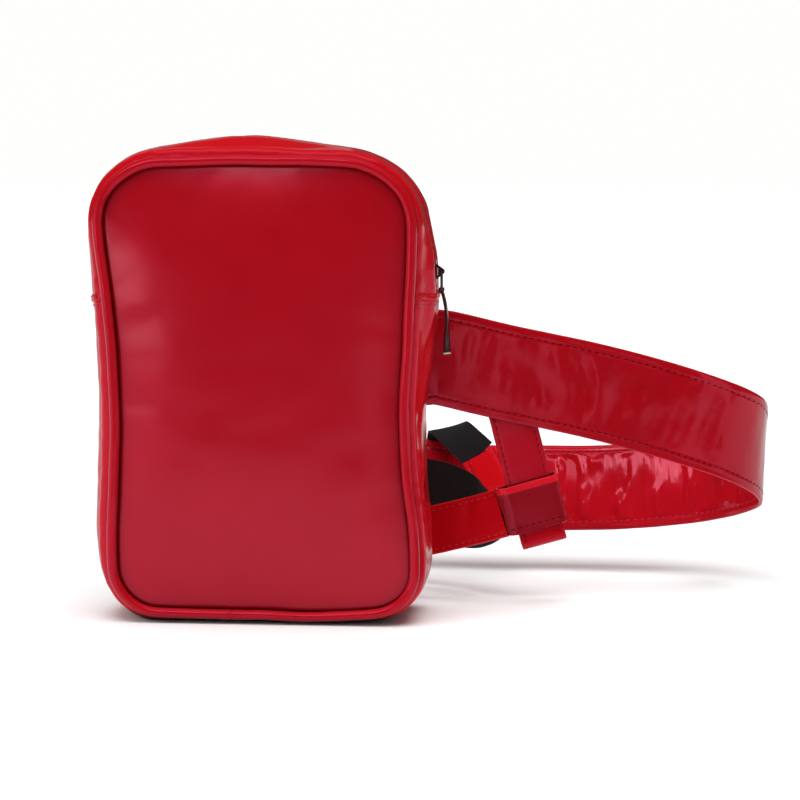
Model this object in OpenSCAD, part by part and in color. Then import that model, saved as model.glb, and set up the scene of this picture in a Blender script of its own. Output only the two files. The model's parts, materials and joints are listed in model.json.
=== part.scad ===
// Zipped belt pouch: a small upright bag on a wide stitched belt loop, with a
// narrow hanger strap that carries a red and black elastic leg loop.
// Frame: +X right, +Y back, +Z up, origin at the centre of the flat base.

/* [Bag] */
// Width across the piped front seam
bag_w = 165; // [160:1:168]
// Height of the piped front seam
bag_h = 243; // [238:1:248]
// Depth between the two piped seams, cord centre to cord centre
bag_d = 60; // [58:1:64]
// Outside corner radius of the piped seams
corner_r = 34; // [31:1:36]
// Thickness of the patent faux leather
skin_t = 1.2; // [0.9:0.1:1.3]
// Radius of the piping cord
piping_r = 2.4; // [2:0.1:2.4]
// How far the front panel swells out in its middle
panel_crown = 4.5; // [1:0.5:7]
// Height of the cross seams where the zip gusset meets the base gusset
seam_z = 170; // [160:1:171]
// How far the zip gusset bulges beyond the seams
zip_bulge = 9.5; // [9:0.1:10]
// How far the base gusset bulges beyond the seams
base_bulge = 2; // [1.6:0.1:2.4]

/* [Zip] */
// Height of the pull ring's axis with the zip closed
ring_z = 184; // [183:0.5:187]
// Radius of the wire that the pull ring is bent from
wire_r = 0.47; // [0.4:0.01:0.5]
// Radial running clearance round the wire
wire_gap = 0.08; // [0.05:0.01:0.1]
// Length of the pull tab below its ring
pull_len = 34; // [28:1:36]

/* [Belt] */
// Width of the belt
belt_w = 52; // [46:1:54]
// Height of the belt's centre line where it leaves the bag
root_z = 135.4; // [134:0.2:137]
// How far the belt loop reaches to the right of the bag
loop_reach = 191; // [180:1:200]
// How far the far run lies behind the bag
loop_depth = 129; // [125:1:140]
// How far the far run hangs below the root
loop_drop = 88; // [84:1:92]

/* [Leg loop] */
// Width of the narrow hanger strap
hanger_w = 25; // [22:0.5:25]
// Width of the red leg band
band_w = 27; // [24:0.5:28]
// Width of the black leg elastic at its widest
elastic_w = 49; // [44:0.5:50]
// Height of the keeper sleeve
sleeve_h = 26; // [24:0.5:27]

/* [Hidden] */
side_x = bag_w / 2;             // half width of the seam outline
seam_y = bag_d / 2;             // depth of each seam plane
bottom_z = base_bulge;          // lowest level of the seam outline
top_z = base_bulge + bag_h;     // highest level of the seam outline
mid_z = (bottom_z + top_z) / 2;
edge_y = seam_y - piping_r - 0.2;   // where the gussets stop beside the cord
slot_y = 5;                     // half width of the zip slot
seam_tab_t = 2.2;               // thickness of the folded cross seams
zip_z = seam_z + seam_tab_t + 0.2;  // where the zip gusset starts

// ---------- outline and sweeps ----------
// Rounded rectangle from two bars and four discs
module rounded_rect(half_w, half_h, r, facets = 96) {
  square([2 * half_w - 2 * r, 2 * half_h], center = true);
  square([2 * half_w, 2 * half_h - 2 * r], center = true);
  for (x = [-1, 1], y = [-1, 1])
    translate([x * (half_w - r), y * (half_h - r)]) circle(r, $fn = facets);
}
// Upright slab of the seam outline, grown by grow, from depth y0 to y1
module slab(grow, y0, y1) {
  translate([0, y1, 0]) rotate([90, 0, 0]) linear_extrude(y1 - y0)
    translate([0, mid_z]) rounded_rect(side_x + grow, bag_h / 2 + grow, corner_r + grow);
}
module mirror_x() {
  children();
  mirror([1, 0, 0]) children();
}
// Turns the front half of a gusset section into the rear half
module mirror_depth() mirror([0, 1]) children();

// The sweeps below carry a section drawn with its first axis outward from the
// seam outline and its second axis along +Y.
// Right side, from height low to height high
module side_run(low, high) {
  translate([side_x, 0, low]) linear_extrude(high - low) children();
}
// One corner: 0 top right, 1 top left, 2 bottom left, 3 bottom right
module corner_run(corner) {
  x = (corner == 0 || corner == 3) ? side_x - corner_r : corner_r - side_x;
  z = (corner < 2) ? top_z - corner_r : bottom_z + corner_r;
  translate([x, 0, z]) rotate([90, 0, 0]) rotate([0, 0, 90 * corner])
    rotate_extrude(angle = 90, $fn = 96) translate([corner_r, 0]) mirror([0, 1]) children();
}
// Top (up = 1) or bottom (up = -1)
module level_run(up) {
  length = 2 * (side_x - corner_r);
  translate([0, 0, up > 0 ? top_z : bottom_z]) rotate([0, up > 0 ? -90 : 90, 0])
    translate([0, 0, -length / 2]) linear_extrude(length) children();
}
// Whole outline
module ring_run() {
  mirror_x() side_run(bottom_z + corner_r, top_z - corner_r) children();
  for (corner = [0:3]) corner_run(corner) children();
  level_run(1) children();
  level_run(-1) children();
}
// The part of the outline above height low
module arch_run(low) {
  mirror_x() side_run(low, top_z - corner_r) children();
  for (corner = [0:1]) corner_run(corner) children();
  level_run(1) children();
}
// The part of the outline below height high
module cradle_run(high) {
  mirror_x() side_run(bottom_z + corner_r, high) children();
  for (corner = [2:3]) corner_run(corner) children();
  level_run(-1) children();
}

// ---------- ribbons ----------
// A path is a table of way points [x, y, z, lean x, lean y, width]; the ribbon's
// width lies along [lean x, lean y, 1], squared to its heading.
function unit(v) = v / norm(v);
// Catmull-Rom spline from b to c
function spline(a, b, c, d, t) = 0.5 * (2 * b + (c - a) * t
  + (2 * a - 5 * b + 4 * c - d) * t * t + (3 * b - a - 3 * c + d) * t * t * t);
// Smooth stations through the path, steps per span
function stations(path, steps) = let (last = len(path) - 1) concat(
  [for (i = [0:last - 1]) for (k = [0:steps - 1])
    spline(path[max(i - 1, 0)], path[i], path[i + 1], path[min(i + 2, last)], k / steps)],
  [path[last]]);
function xyz(row) = [row[0], row[1], row[2]];
function heading(rows, j) =
  unit(xyz(rows[min(j + 1, len(rows) - 1)]) - xyz(rows[max(j - 1, 0)]));
function across(rows, j) =
  let (ahead = heading(rows, j), lean = [rows[j][3], rows[j][4], 1])
  unit(lean - (lean * ahead) * ahead);
// Corners of the ribbon's section at station j
function corners(rows, j, n0, n1) =
  let (up = across(rows, j), normal = cross(heading(rows, j), up),
    half = rows[j][5] / 2, centre = xyz(rows[j]))
  [centre + half * up + n1 * normal, centre - half * up + n1 * normal,
   centre - half * up + n0 * normal, centre + half * up + n0 * normal];
// Band along a path, between the normal offsets n0 and n1. Both broad faces
// split along the same diagonal.
module ribbon(path, steps, n0, n1) {
  rows = stations(path, steps);
  count = len(rows);
  end = 4 * count - 1;
  polyhedron(
    points = [for (j = [0:count - 1]) each corners(rows, j, n0, n1)],
    faces = concat(
      [[0, 1, 2, 3]],
      [[end, end - 1, end - 2, end - 3]],
      [for (j = [0:count - 2]) for (k = [0, 1, 3])
        [4 * j + k, 4 * j + 4 + k, 4 * j + 4 + (k + 1) % 4]],
      [for (j = [0:count - 2]) for (k = [0, 1, 3])
        [4 * j + k, 4 * j + 4 + (k + 1) % 4, 4 * j + (k + 1) % 4]],
      [for (j = [0:count - 2]) [4 * j + 2, 4 * j + 6, 4 * j + 3]],
      [for (j = [0:count - 2]) [4 * j + 6, 4 * j + 7, 4 * j + 3]]));
}

// ---------- bag shell ----------
panel_inset = 5.1;  // from the seam outline in to the panel edges
crown_rings = 5;    // rings from the front panel's rim to its centre
corner_steps = 9;   // facets of each front panel corner

// Crowned panel: rings of the outline shrink to the centre and swell forwards
module front_panel() {
  half_w = side_x - panel_inset;
  half_h = bag_h / 2 - panel_inset;
  r = corner_r - panel_inset;
  rim = [for (q = [0:3]) for (k = [0:corner_steps])
    let (angle = 90 * q + 90 * k / corner_steps)
    [(q == 0 || q == 3 ? half_w - r : r - half_w) + r * cos(angle),
     (q < 2 ? half_h - r : r - half_h) + r * sin(angle)]];
  count = len(rim);
  back = crown_rings * count + 1;   // index of the first point of the back face
  function lift(f) = panel_crown * (1 - f * f) * (1 + 0.35 * f * f);
  // Points of one face whose rim is at depth rim_y, the centre last
  function face_points(rim_y) = concat(
    [for (k = [0:crown_rings - 1]) let (f = 1 - k / crown_rings) for (p = rim)
      [p[0] * f, rim_y - lift(f), mid_z + p[1] * f]],
    [[0, rim_y - lift(0), mid_z]]);
  function tri(a, b, c, flip) = flip ? [a, c, b] : [a, b, c];
  function face_tris(start, flip) = concat(
    [for (k = [0:crown_rings - 2]) for (i = [0:count - 1])
      tri(start + k * count + i, start + (k + 1) * count + (i + 1) % count,
        start + k * count + (i + 1) % count, flip)],
    [for (k = [0:crown_rings - 2]) for (i = [0:count - 1])
      tri(start + k * count + i, start + (k + 1) * count + i,
        start + (k + 1) * count + (i + 1) % count, flip)],
    [for (i = [0:count - 1])
      tri(start + (crown_rings - 1) * count + i, start + crown_rings * count,
        start + (crown_rings - 1) * count + (i + 1) % count, flip)]);
  color("crimson") polyhedron(
    points = concat(face_points(-seam_y), face_points(-seam_y + skin_t)),
    faces = concat(face_tris(0, false), face_tris(back, true),
      [for (i = [0:count - 1]) [i, (i + 1) % count, back + (i + 1) % count]],
      [for (i = [0:count - 1]) [i, back + (i + 1) % count, back + i]]));
}
module back_panel() color("firebrick") slab(-panel_inset, seam_y, seam_y + skin_t);

module piping(y) ring_run() translate([-piping_r - 0.1, y]) circle(piping_r, $fn = 32);
module front_piping() color("red") piping(-seam_y);
module rear_piping() color("red") piping(seam_y);

// Outward bulge of the zip gusset at depth y
function swell(y, bulge) = bulge * sin(90 * min(1, (edge_y - abs(y)) / (edge_y - slot_y)));
half_steps = 7;
// Depths across the front half of the zip gusset, from its edge to the slot
half_depths = [for (i = [0:half_steps]) -edge_y + (edge_y - slot_y) * i / half_steps];
// Section of the front half of the zip gusset
module zip_half() {
  polygon(concat(
    [for (y = half_depths) [swell(y, zip_bulge), y]],
    [for (i = [half_steps:-1:0])
      [swell(half_depths[i], zip_bulge) - skin_t, half_depths[i]]]));
}
module zip_gusset_front() color("crimson") arch_run(zip_z) zip_half();
module zip_gusset_rear() color("crimson") arch_run(zip_z) mirror_depth() zip_half();

// Flat-topped section with sloping edges
module base_section() {
  outer_y = edge_y - 7.4;
  inner_y = edge_y - 7.6;
  inner = base_bulge - skin_t;
  polygon([[0, -edge_y], [base_bulge, -outer_y], [base_bulge, outer_y], [0, edge_y],
    [-skin_t, edge_y], [inner, inner_y], [inner, -inner_y], [-skin_t, -edge_y]]);
}
module base_gusset() color("crimson") cradle_run(seam_z) base_section();

// Folded cross seams, as bulkheads that close the step between the gussets
module gusset_seam_tabs() {
  steps = 9;
  low = seam_z + 0.1;
  depths = [for (i = [0:steps]) -edge_y + 2 * edge_y * i / steps];
  color("darkred") mirror_x() side_run(low, low + seam_tab_t)
    polygon(concat([for (y = depths) [swell(y, zip_bulge - 0.3) + 0.3, y]],
      [[-skin_t, edge_y], [-skin_t, -edge_y]]));
}

// ---------- zip ----------
tape_t = 0.6;
tape_gap = 0.15;    // between the gusset and the tape under it
tape_edge_y = 2.8;  // the tape's free edge
coil_out = zip_bulge - 2.3;   // inner level of the coils
coil_t = 2;
coil_outer_y = 2.6;
coil_w = 1.9;
coil_z = zip_z + 6;
stop_z = zip_z + 3;
stop_h = 2.7;
stop_t = 2.4;
stop_outer_y = 2.65;
stop_w = 2;         // width of each left stop

// Tape that lies under the folded edge of the gusset and reaches in to the coil
module zip_tape() {
  depths = [for (i = [4:half_steps]) half_depths[i], -tape_edge_y];
  last = len(depths) - 1;
  outs = [for (y = depths) swell(max(abs(y), slot_y), zip_bulge) - skin_t - tape_gap];
  polygon(concat([for (i = [0:last]) [outs[i], depths[i]]],
    [for (i = [last:-1:0]) [outs[i] - tape_t, depths[i]]]));
}
module zip_tape_front() color("maroon") arch_run(zip_z) zip_tape();
module zip_tape_rear() color("maroon") arch_run(zip_z) mirror_depth() zip_tape();

module zip_coil() translate([coil_out, -coil_outer_y]) square([coil_t, coil_w]);
module zip_coil_front() color("brown") arch_run(coil_z) zip_coil();
module zip_coil_rear() color("brown") arch_run(coil_z) mirror_depth() zip_coil();

// Crimped stops: one across both coils on the right, one on each coil on the left
module zip_stops() {
  x = side_x + coil_out - 0.2;
  color("dimgray") {
    translate([x, -stop_outer_y, stop_z]) cube([stop_t, 2 * stop_outer_y, stop_h]);
    for (y = [-stop_outer_y, stop_outer_y - stop_w])
      translate([-x - stop_t, y, stop_z]) cube([stop_t, stop_w, stop_h]);
  }
}

slider_w = 8;
slider_len = 12;
slider_plate_t = 1.2;
ring_offset = 4;    // ring axis beyond the gusset
bail_offset = 0.5;  // bail's foot beyond the gusset
bail_w = 2.4;
ring_x = side_x + (zip_bulge + ring_offset);
ring_half = 3.9;    // half width of the ring between wire centres
ring_len = 9.5;     // length of the ring between wire centres
bend_r = 1;         // corner radius of the ring
pull_w = 6;
pull_half_t = 0.75;

module slider_plate() {
  rotate([90, 0, 90]) linear_extrude(slider_plate_t)
    rounded_rect(slider_w / 2, slider_len / 2, 1, 32);
}
// Loop outside the slider that the ring passes through, seen along Y
module bail_section() {
  difference() {
    hull() {
      translate([0, -4.2]) square([0.6, 8.4]);
      translate([ring_offset - bail_offset, 0]) circle(1.6, $fn = 40);
    }
    translate([1.2, -2.1]) square([0.6, 4.2]);
  }
}
// Two plates joined by a slim post that runs between the coils, and a bail
module zip_slider() {
  x = side_x + zip_bulge;
  color("dimgray") difference() {
    union() {
      translate([x + 0.1, 0, ring_z]) slider_plate();
      translate([x - 4.1, 0, ring_z]) slider_plate();
      translate([x - 3.5, -0.45, ring_z + 1.5]) cube([4.2, 0.9, 3.5]);
      translate([x + bail_offset, bail_w / 2, ring_z]) rotate([90, 0, 0])
        linear_extrude(bail_w) bail_section();
    }
    translate([ring_x, 5, ring_z]) rotate([90, 0, 0])
      cylinder(r = wire_r + wire_gap, h = 10, $fn = 40);
  }
}
// Wire ring, hanging from the bail in the plane X = constant
module zip_ring() {
  straight_y = ring_half - bend_r;
  color("gray") translate([ring_x, 0, ring_z]) {
    for (z = [0, -ring_len]) translate([0, straight_y, z]) rotate([90, 0, 0])
      cylinder(r = wire_r, h = 2 * straight_y, $fn = 32);
    for (y = [-ring_half, ring_half]) translate([0, y, bend_r - ring_len])
      cylinder(r = wire_r, h = ring_len - 2 * bend_r, $fn = 32);
    for (side = [-1, 1], foot = [0, 1])
      translate([0, side * straight_y, foot ? -ring_len + bend_r : -bend_r])
        rotate([90, 0, 90])
        rotate([0, 0, side > 0 ? (foot ? 270 : 0) : (foot ? 180 : 90)])
        rotate_extrude(angle = 90, $fn = 48) translate([bend_r, 0]) circle(wire_r, $fn = 32);
  }
}
// Slim leather strip folded round the foot of the ring, seen along Y
module pull_tab() {
  steps = 8;
  top = 0.9;   // strip starts this far below the wire
  function bow(s) = 2.3 * sin(150 * s) + 1.6 * s * s;
  function edge_point(i, offset) =
    let (s = i / steps) [bow(s) + offset, -top - (pull_len - top) * s];
  outer = [for (i = [0:steps]) edge_point(i, pull_half_t)];
  inner = [for (i = [steps:-1:0]) edge_point(i, -pull_half_t)];
  color("saddlebrown") translate([ring_x, pull_w / 2, ring_z - ring_len])
    rotate([90, 0, 0]) difference() {
      union() {
        cylinder(r = 1.5, h = pull_w, $fn = 40);
        linear_extrude(pull_w) polygon(concat(outer, inner));
      }
      translate([0, 0, -1]) cylinder(r = wire_r + wire_gap, h = pull_w + 2, $fn = 40);
    }
}

// ---------- inside the bag ----------
foam_inset = 5.6;
foam_gap = 0.3;     // between each foam sheet and its panel
lining_y = seam_y - 4.8;
lining_inset = 2.6;
lining_t = 0.6;
lining_slot_y = 7;  // half width of the lining's slot under the zip
board_y = 18;       // half depth of the base board

module front_foam() {
  y = -seam_y + skin_t + foam_gap;
  color("lightgray") slab(-foam_inset, y, y + 3);
}
module rear_foam() color("lightgray") slab(-foam_inset, seam_y - 3.4, seam_y - foam_gap);
module lining() {
  color("black") difference() {
    slab(-lining_inset, -lining_y, lining_y);
    slab(-lining_inset - lining_t, -lining_y + lining_t, lining_y - lining_t);
    translate([-side_x - 20, -lining_slot_y, zip_z + 4])
      cube([2 * side_x + 40, 2 * lining_slot_y, bag_h]);
  }
}
module base_board() {
  color("tan") translate([-side_x + corner_r + 1, -board_y, 1.6])
    cube([2 * (side_x - corner_r) - 2, 2 * board_y, 2.4]);
}

// ---------- belt ----------
anchor_t = 2.8;
closure_x = side_x - 92;        // left edge of the closure tapes
closure_size = [26, 1.1, 40];

// Length of belt sewn flat across the back, stepping over the rear piping
module belt_anchor() {
  panel_y = seam_y + skin_t + 0.3;
  cord_y = seam_y + piping_r + 0.4;
  color("firebrick") translate([0, 0, root_z - belt_w / 2]) linear_extrude(belt_w)
    polygon([
      [-side_x + 18, panel_y], [side_x - 9, panel_y],
      [side_x - 6, cord_y], [side_x + 1, cord_y],
      [side_x + 1, cord_y + anchor_t], [side_x - 7, cord_y + anchor_t],
      [side_x - 11, panel_y + anchor_t], [-side_x + 18, panel_y + anchor_t]]);
}
module closure_tape(y) {
  color("black") translate([closure_x, y, root_z - closure_size[2] / 2]) cube(closure_size);
}
module closure_loop_tape() closure_tape(seam_y + skin_t + 0.4 + anchor_t);
module closure_hook_tape() closure_tape(seam_y + 5.8);

// Way point from fractions of the loop's reach, depth and drop
function way(reach, depth, drop, lean_x, lean_y) = [side_x + reach * loop_reach,
  seam_y + depth * loop_depth, root_z - drop * loop_drop, lean_x, lean_y, belt_w];
// Way point from distances off the right side, the rear seam and the root
function near_way(x, y, z, lean_x) = [side_x + x, seam_y + y, root_z + z, lean_x, 0, belt_w];
belt_path = [
  near_way(3.2, 4.8, 0, 0),              // root, beside the bag
  near_way(13, 5.6, -0.4, 0.04),
  way(0.23, 0.08, 0.09, 0.18, 0.01),     // near run
  way(0.50, 0.14, 0.22, 0.21, 0.04),
  way(0.75, 0.23, 0.38, 0.21, 0.08),
  way(0.94, 0.40, 0.56, 0.14, 0.18),     // right turn
  way(0.98, 0.66, 0.74, 0.03, 0.29),
  way(0.83, 0.91, 0.90, -0.01, 0.37),
  way(0.58, 0.98, 0.98, -0.01, 0.42),    // far run
  way(0.31, 1.00, 1.00, -0.02, 0.44),
  way(0.05, 1.01, 0.99, -0.03, 0.43),
  way(-0.22, 0.99, 0.90, -0.10, 0.38),
  way(-0.47, 0.92, 0.73, -0.16, 0.28),
  way(-0.68, 0.74, 0.44, -0.20, 0.12),   // left turn, behind the bag
  way(-0.78, 0.46, 0.18, -0.14, 0.02),
  near_way(-139, 28, -3, -0.06),
  near_way(-121, 13.5, 0, 0),            // free end, on the closure
  near_way(-95, 9, 0, 0),
  near_way(-65, 9, 0, 0)];
// Positive offsets lie on the outside of the loop
module belt_layer(n0, n1) ribbon(belt_path, 4, n0, n1);
module belt_outer() color("red") belt_layer(0.4, 1.4);
module belt_core() color("dimgray") belt_layer(-0.3, 0.3);
module belt_lining() color("crimson") belt_layer(-1.4, -0.4);

// ---------- hanger ----------
hang_top = [131.7, 45.2, 101.8];   // top of the free hanger strap
hang_yaw = 8.5;
hang_roll = -15;
hang_lean = 6;
ply_t = 1.55;
ply_gap = 0.15;     // from the strap's mid plane to each ply
fold_z = -70;       // foot of the strap below hang_top
sleeve_z = -50;     // middle of the sleeve below hang_top

// Frame at hang_top: X across the strap, Z up along it
module hang_frame(lean) {
  translate(hang_top) rotate([0, 0, hang_yaw]) rotate([0, hang_roll, 0])
    rotate([lean, 0, 0]) children();
}
module hanger_root() {
  color("crimson") hang_frame(0) translate([-hanger_w / 2, -1, 1.2]) cube([hanger_w, 1.8, 22]);
}
// Strap with its foot folded back up through the sleeve
module hanger_strap() {
  color("red") hang_frame(hang_lean) translate([-hanger_w / 2, 0, 0])
    rotate([90, 0, 90]) linear_extrude(hanger_w) {
      translate([-ply_gap - ply_t, fold_z]) square([ply_t, -fold_z - 0.8]);
      translate([ply_gap, fold_z]) square([ply_t, 29]);
      // open eye at the fold
      difference() {
        translate([0, fold_z]) circle(4, $fn = 48);
        translate([0, fold_z]) circle(2.6, $fn = 48);
        translate([-1, fold_z + 2]) square([2, 3]);
      }
    }
}
// Keeper sleeve round the hanger strap
module band_sleeve() {
  color("firebrick") hang_frame(hang_lean) translate([0, 0, sleeve_z - sleeve_h / 2])
    linear_extrude(sleeve_h) difference() {
      translate([-1.25, 0]) rounded_rect(17.25, 3.5, 1.2);
      square([hanger_w + 1.4, 4.1], center = true);
    }
}

// ---------- leg loop ----------
red_half_t = 0.9;       // half thickness of the red bands
elastic_half_t = 0.7;   // half thickness of the black elastics
hook_w = 21;            // width of the short elastic
tab_w = 22;             // width of its end tab

band_path = [
  [123.6, 51.6, 47.4, -0.22, 0.05, band_w],
  [113, 55, 44, -0.20, 0.05, band_w],
  [98, 59, 39.6, -0.16, 0.05, band_w],
  [80, 63, 35, -0.10, 0.05, band_w],
  [58, 67, 32.3, -0.05, 0.05, band_w],
  [38, 72, 32.8, 0, 0.05, band_w],
  [23, 81, 35.3, 0, 0, band_w]];
elastic_path = [
  [21.6, 83.6, 35.8, 0, 0, 29],
  [23, 94, 38.8, 0, 0.05, 35],
  [38, 102, 43.3, 0, 0.05, 44],
  [58, 103.5, 46.3, 0, 0.08, elastic_w - 1],
  [80, 99, 47, 0.02, 0.12, elastic_w],
  [98, 90, 44.8, 0.12, 0.14, elastic_w - 4],
  [110, 78, 42.3, 0.10, 0.14, elastic_w - 12],
  [117, 66, 43.3, 0, 0.1, band_w + 4],
  [121.5, 57.2, 45.6, -0.1, 0.05, band_w]];
module leg_band() color("red") ribbon(band_path, 3, -red_half_t, red_half_t);
module leg_elastic() {
  color("black") ribbon(elastic_path, 3, -elastic_half_t, elastic_half_t);
}

// Short elastic that hangs over the far run and carries the square end tab
hook_path = [
  [108.6, 135.6, 69.7, 1.6, 0.1, hook_w],
  [100.5, 143, 75.8, 1.6, 0.25, hook_w],
  [93, 153, 80.8, 2.2, 0.2, hook_w],
  [88, 164, 81.8, 4, 0, hook_w],
  [86, 173, 76.8, 6, 0, hook_w],
  [85, 173.5, 65.8, 6, 0, hook_w],
  [85, 168.6, 52.8, 6, 0, hook_w]];
tab_path = [
  [110.4, 133.4, 67, 1.9, 0.2, tab_w],
  [115, 129.1, 59.2, 1.9, 0.2, tab_w],
  [119.6, 124.8, 51.4, 1.9, 0.2, tab_w]];
module elastic_hanger() {
  color("black") ribbon(hook_path, 4, -elastic_half_t, elastic_half_t);
}
module elastic_end_tab() color("red") ribbon(tab_path, 1, -red_half_t, red_half_t);

front_panel();
back_panel();
front_piping();
rear_piping();
zip_gusset_front();
zip_gusset_rear();
base_gusset();
gusset_seam_tabs();
zip_tape_front();
zip_tape_rear();
zip_coil_front();
zip_coil_rear();
zip_stops();
zip_slider();
zip_ring();
pull_tab();
front_foam();
rear_foam();
lining();
base_board();
belt_anchor();
closure_loop_tape();
belt_outer();
belt_core();
belt_lining();
closure_hook_tape();
hanger_root();
hanger_strap();
band_sleeve();
leg_band();
leg_elastic();
elastic_hanger();
elastic_end_tab();
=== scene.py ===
"""Red patent-leather belt bag: a zipped pouch, a belt sewn across its back and a leg loop.

Axes: +X right, -Y front, +Z up; the pouch stands on z = 0 with x = 0 at its middle. The belt
leaves the pouch's back on the right, sweeps round behind it and closes on its back. A hanger
drops from the belt and carries a sleeve with the leg loop.

Lengths are in millimetres; make() turns them into metres. Shader maps, stage, lights and
camera are in metres. "Level" is the distance outward from the seam outline of the pouch.
"""
import functools
import json
import math

import bmesh
import bpy
import numpy as np
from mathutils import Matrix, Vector


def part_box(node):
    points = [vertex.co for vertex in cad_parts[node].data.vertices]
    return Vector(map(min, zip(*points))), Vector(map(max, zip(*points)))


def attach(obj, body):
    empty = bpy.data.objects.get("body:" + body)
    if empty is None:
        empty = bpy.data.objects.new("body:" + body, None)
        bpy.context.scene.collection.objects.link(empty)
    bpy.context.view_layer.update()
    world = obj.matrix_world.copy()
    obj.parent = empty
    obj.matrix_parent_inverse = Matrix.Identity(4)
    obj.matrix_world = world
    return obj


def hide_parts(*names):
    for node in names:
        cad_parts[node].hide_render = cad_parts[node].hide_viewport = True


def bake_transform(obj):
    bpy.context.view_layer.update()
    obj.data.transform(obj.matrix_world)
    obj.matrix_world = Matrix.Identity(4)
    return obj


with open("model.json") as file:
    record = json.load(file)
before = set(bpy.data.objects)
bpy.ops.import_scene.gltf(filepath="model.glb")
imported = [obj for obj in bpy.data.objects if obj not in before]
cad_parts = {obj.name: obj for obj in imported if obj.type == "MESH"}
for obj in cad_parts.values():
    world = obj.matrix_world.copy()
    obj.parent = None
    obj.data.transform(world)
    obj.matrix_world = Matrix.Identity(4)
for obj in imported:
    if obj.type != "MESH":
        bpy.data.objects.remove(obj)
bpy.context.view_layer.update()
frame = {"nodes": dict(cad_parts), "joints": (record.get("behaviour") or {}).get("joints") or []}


# ------------------------------------------------------------------ numbers and curves
def node_box(name):
    low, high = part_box(name)
    return np.array(low) * 1000, np.array(high) * 1000


def joint_at(name):
    return np.array(next(j for j in frame["joints"] if j["name"] == name)["pos_m"]) * 1000


def unit(v):
    v = np.asarray(v, float)
    return v / np.maximum(np.linalg.norm(v, axis=-1, keepdims=True), 1e-12)


def smooth01(t):
    t = np.clip(t, 0, 1)
    return t * t * (3 - 2 * t)


def hill(x, centre, width):
    """Smooth hill of height 1."""
    return np.exp(-((x - centre) / width) ** 2)


def signed_power(x, power):
    return np.sign(x) * np.abs(x) ** power


def circle_angles(count):
    return np.linspace(0, 2 * math.pi, count, endpoint=False)


def smooth_run(values, reach, sigma, mode):
    """Gaussian blur of a row of values; mode says how the ends are padded."""
    kernel = np.exp(-0.5 * (np.arange(-reach, reach + 1) / sigma) ** 2)
    return np.convolve(np.pad(values, reach, mode=mode), kernel / kernel.sum(), "valid")


def arc_length(points):
    return np.r_[0, np.cumsum(np.linalg.norm(np.diff(points, axis=0), axis=1))]


def resample(at, s, values):
    """Rows of values, known at s, read at other places."""
    return np.stack([np.interp(at, s, column) for column in values.T], -1)


def neighbour_mean(grid):
    return 0.25 * (grid[:-2, 1:-1] + grid[2:, 1:-1] + grid[1:-1, :-2] + grid[1:-1, 2:])


@functools.lru_cache(None)
def waves(seed, octave, dimensions):
    """Directions and phases of the seven sine waves of one octave."""
    rng = np.random.RandomState(1000 + 17 * seed + octave)
    direction = rng.normal(size=(7, dimensions))
    direction /= np.linalg.norm(direction, axis=1, keepdims=True)
    direction = direction * rng.uniform(0.7, 1.4, (7, 1))
    return direction, rng.uniform(0, 6.28, 7)


def noise(points, size, seed, octaves):
    """Smooth pseudo noise, about -1..1, with features of the given size."""
    points = np.asarray(points, float)
    total = np.zeros(points.shape[:-1])
    weight, weights = 1.0, 0.0
    for octave in range(octaves):
        direction, phase = waves(seed, octave, points.shape[-1])
        wave = np.sin(points @ direction.T * (2 * math.pi / size) + phase)
        total += weight * wave.sum(-1) / 3.2
        weights += weight
        weight *= 0.5
        size *= 0.52
    return total / weights


def noise_on(s, w, size, seed, octaves):
    """Noise over two coordinates that are broadcast together."""
    return noise(np.stack(np.broadcast_arrays(s, w), -1), size, seed, octaves)


# ------------------------------------------------------------------ mesh builders
def make(name, points, faces, materials, body, slot, replaces=(), uv=None, sharp=50,
         subdivide=0, face_materials=None):
    """Smooth mesh object; sharp is the crease angle in degrees, 0 for none."""
    mesh = bpy.data.meshes.new(name)
    mesh.from_pydata((np.asarray(points, float) / 1000).tolist(), [],
                     [tuple(int(i) for i in face) for face in faces])
    for material in materials if isinstance(materials, list) else [materials]:
        mesh.materials.append(material)
    if face_materials is not None:
        mesh.polygons.foreach_set("material_index", np.asarray(face_materials, np.int32))
    mesh.update()
    if uv is not None:
        layer = mesh.uv_layers.new(name="UVMap")
        corners = np.zeros(len(mesh.loops), np.int32)
        mesh.loops.foreach_get("vertex_index", corners)
        flat = np.asarray(uv, np.float32).reshape(-1, 2)
        layer.data.foreach_set("uv", flat[corners].ravel())
    work = bmesh.new()
    work.from_mesh(mesh)
    bmesh.ops.recalc_face_normals(work, faces=work.faces)
    work.to_mesh(mesh)
    work.free()
    mesh.polygons.foreach_set("use_smooth", [True] * len(mesh.polygons))
    if sharp:
        mesh.set_sharp_from_angle(angle=math.radians(sharp))
    obj = bpy.data.objects.new(name, mesh)
    bpy.context.scene.collection.objects.link(obj)
    if subdivide:
        modifier = obj.modifiers.new("sub", "SUBSURF")
        modifier.levels = modifier.render_levels = subdivide
    if body:
        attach(obj, body)
    if replaces:
        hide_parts(*replaces)
    return obj


def map_uv(u, v):
    return np.stack(np.broadcast_arrays(u, v), -1) / 1000


def grid_faces(rows, columns, closed_columns=True, closed_rows=False):
    faces = []
    for j in range(rows if closed_rows else rows - 1):
        a = j * columns
        b = ((j + 1) % rows) * columns
        for k in range(columns if closed_columns else columns - 1):
            k1 = (k + 1) % columns
            faces.append((a + k, a + k1, b + k1, b + k))
    return faces


def capped_faces(rows, columns):
    last = (rows - 1) * columns
    return grid_faces(rows, columns) + [tuple(range(columns)),
                                        tuple(last + k for k in reversed(range(columns)))]


def repeat_faces(faces, count, stride):
    return [tuple(i * stride + q for q in face) for i in range(count) for face in faces]


def shift_reversed(faces, offset):
    return [tuple(offset + q for q in reversed(face)) for face in faces]


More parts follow.
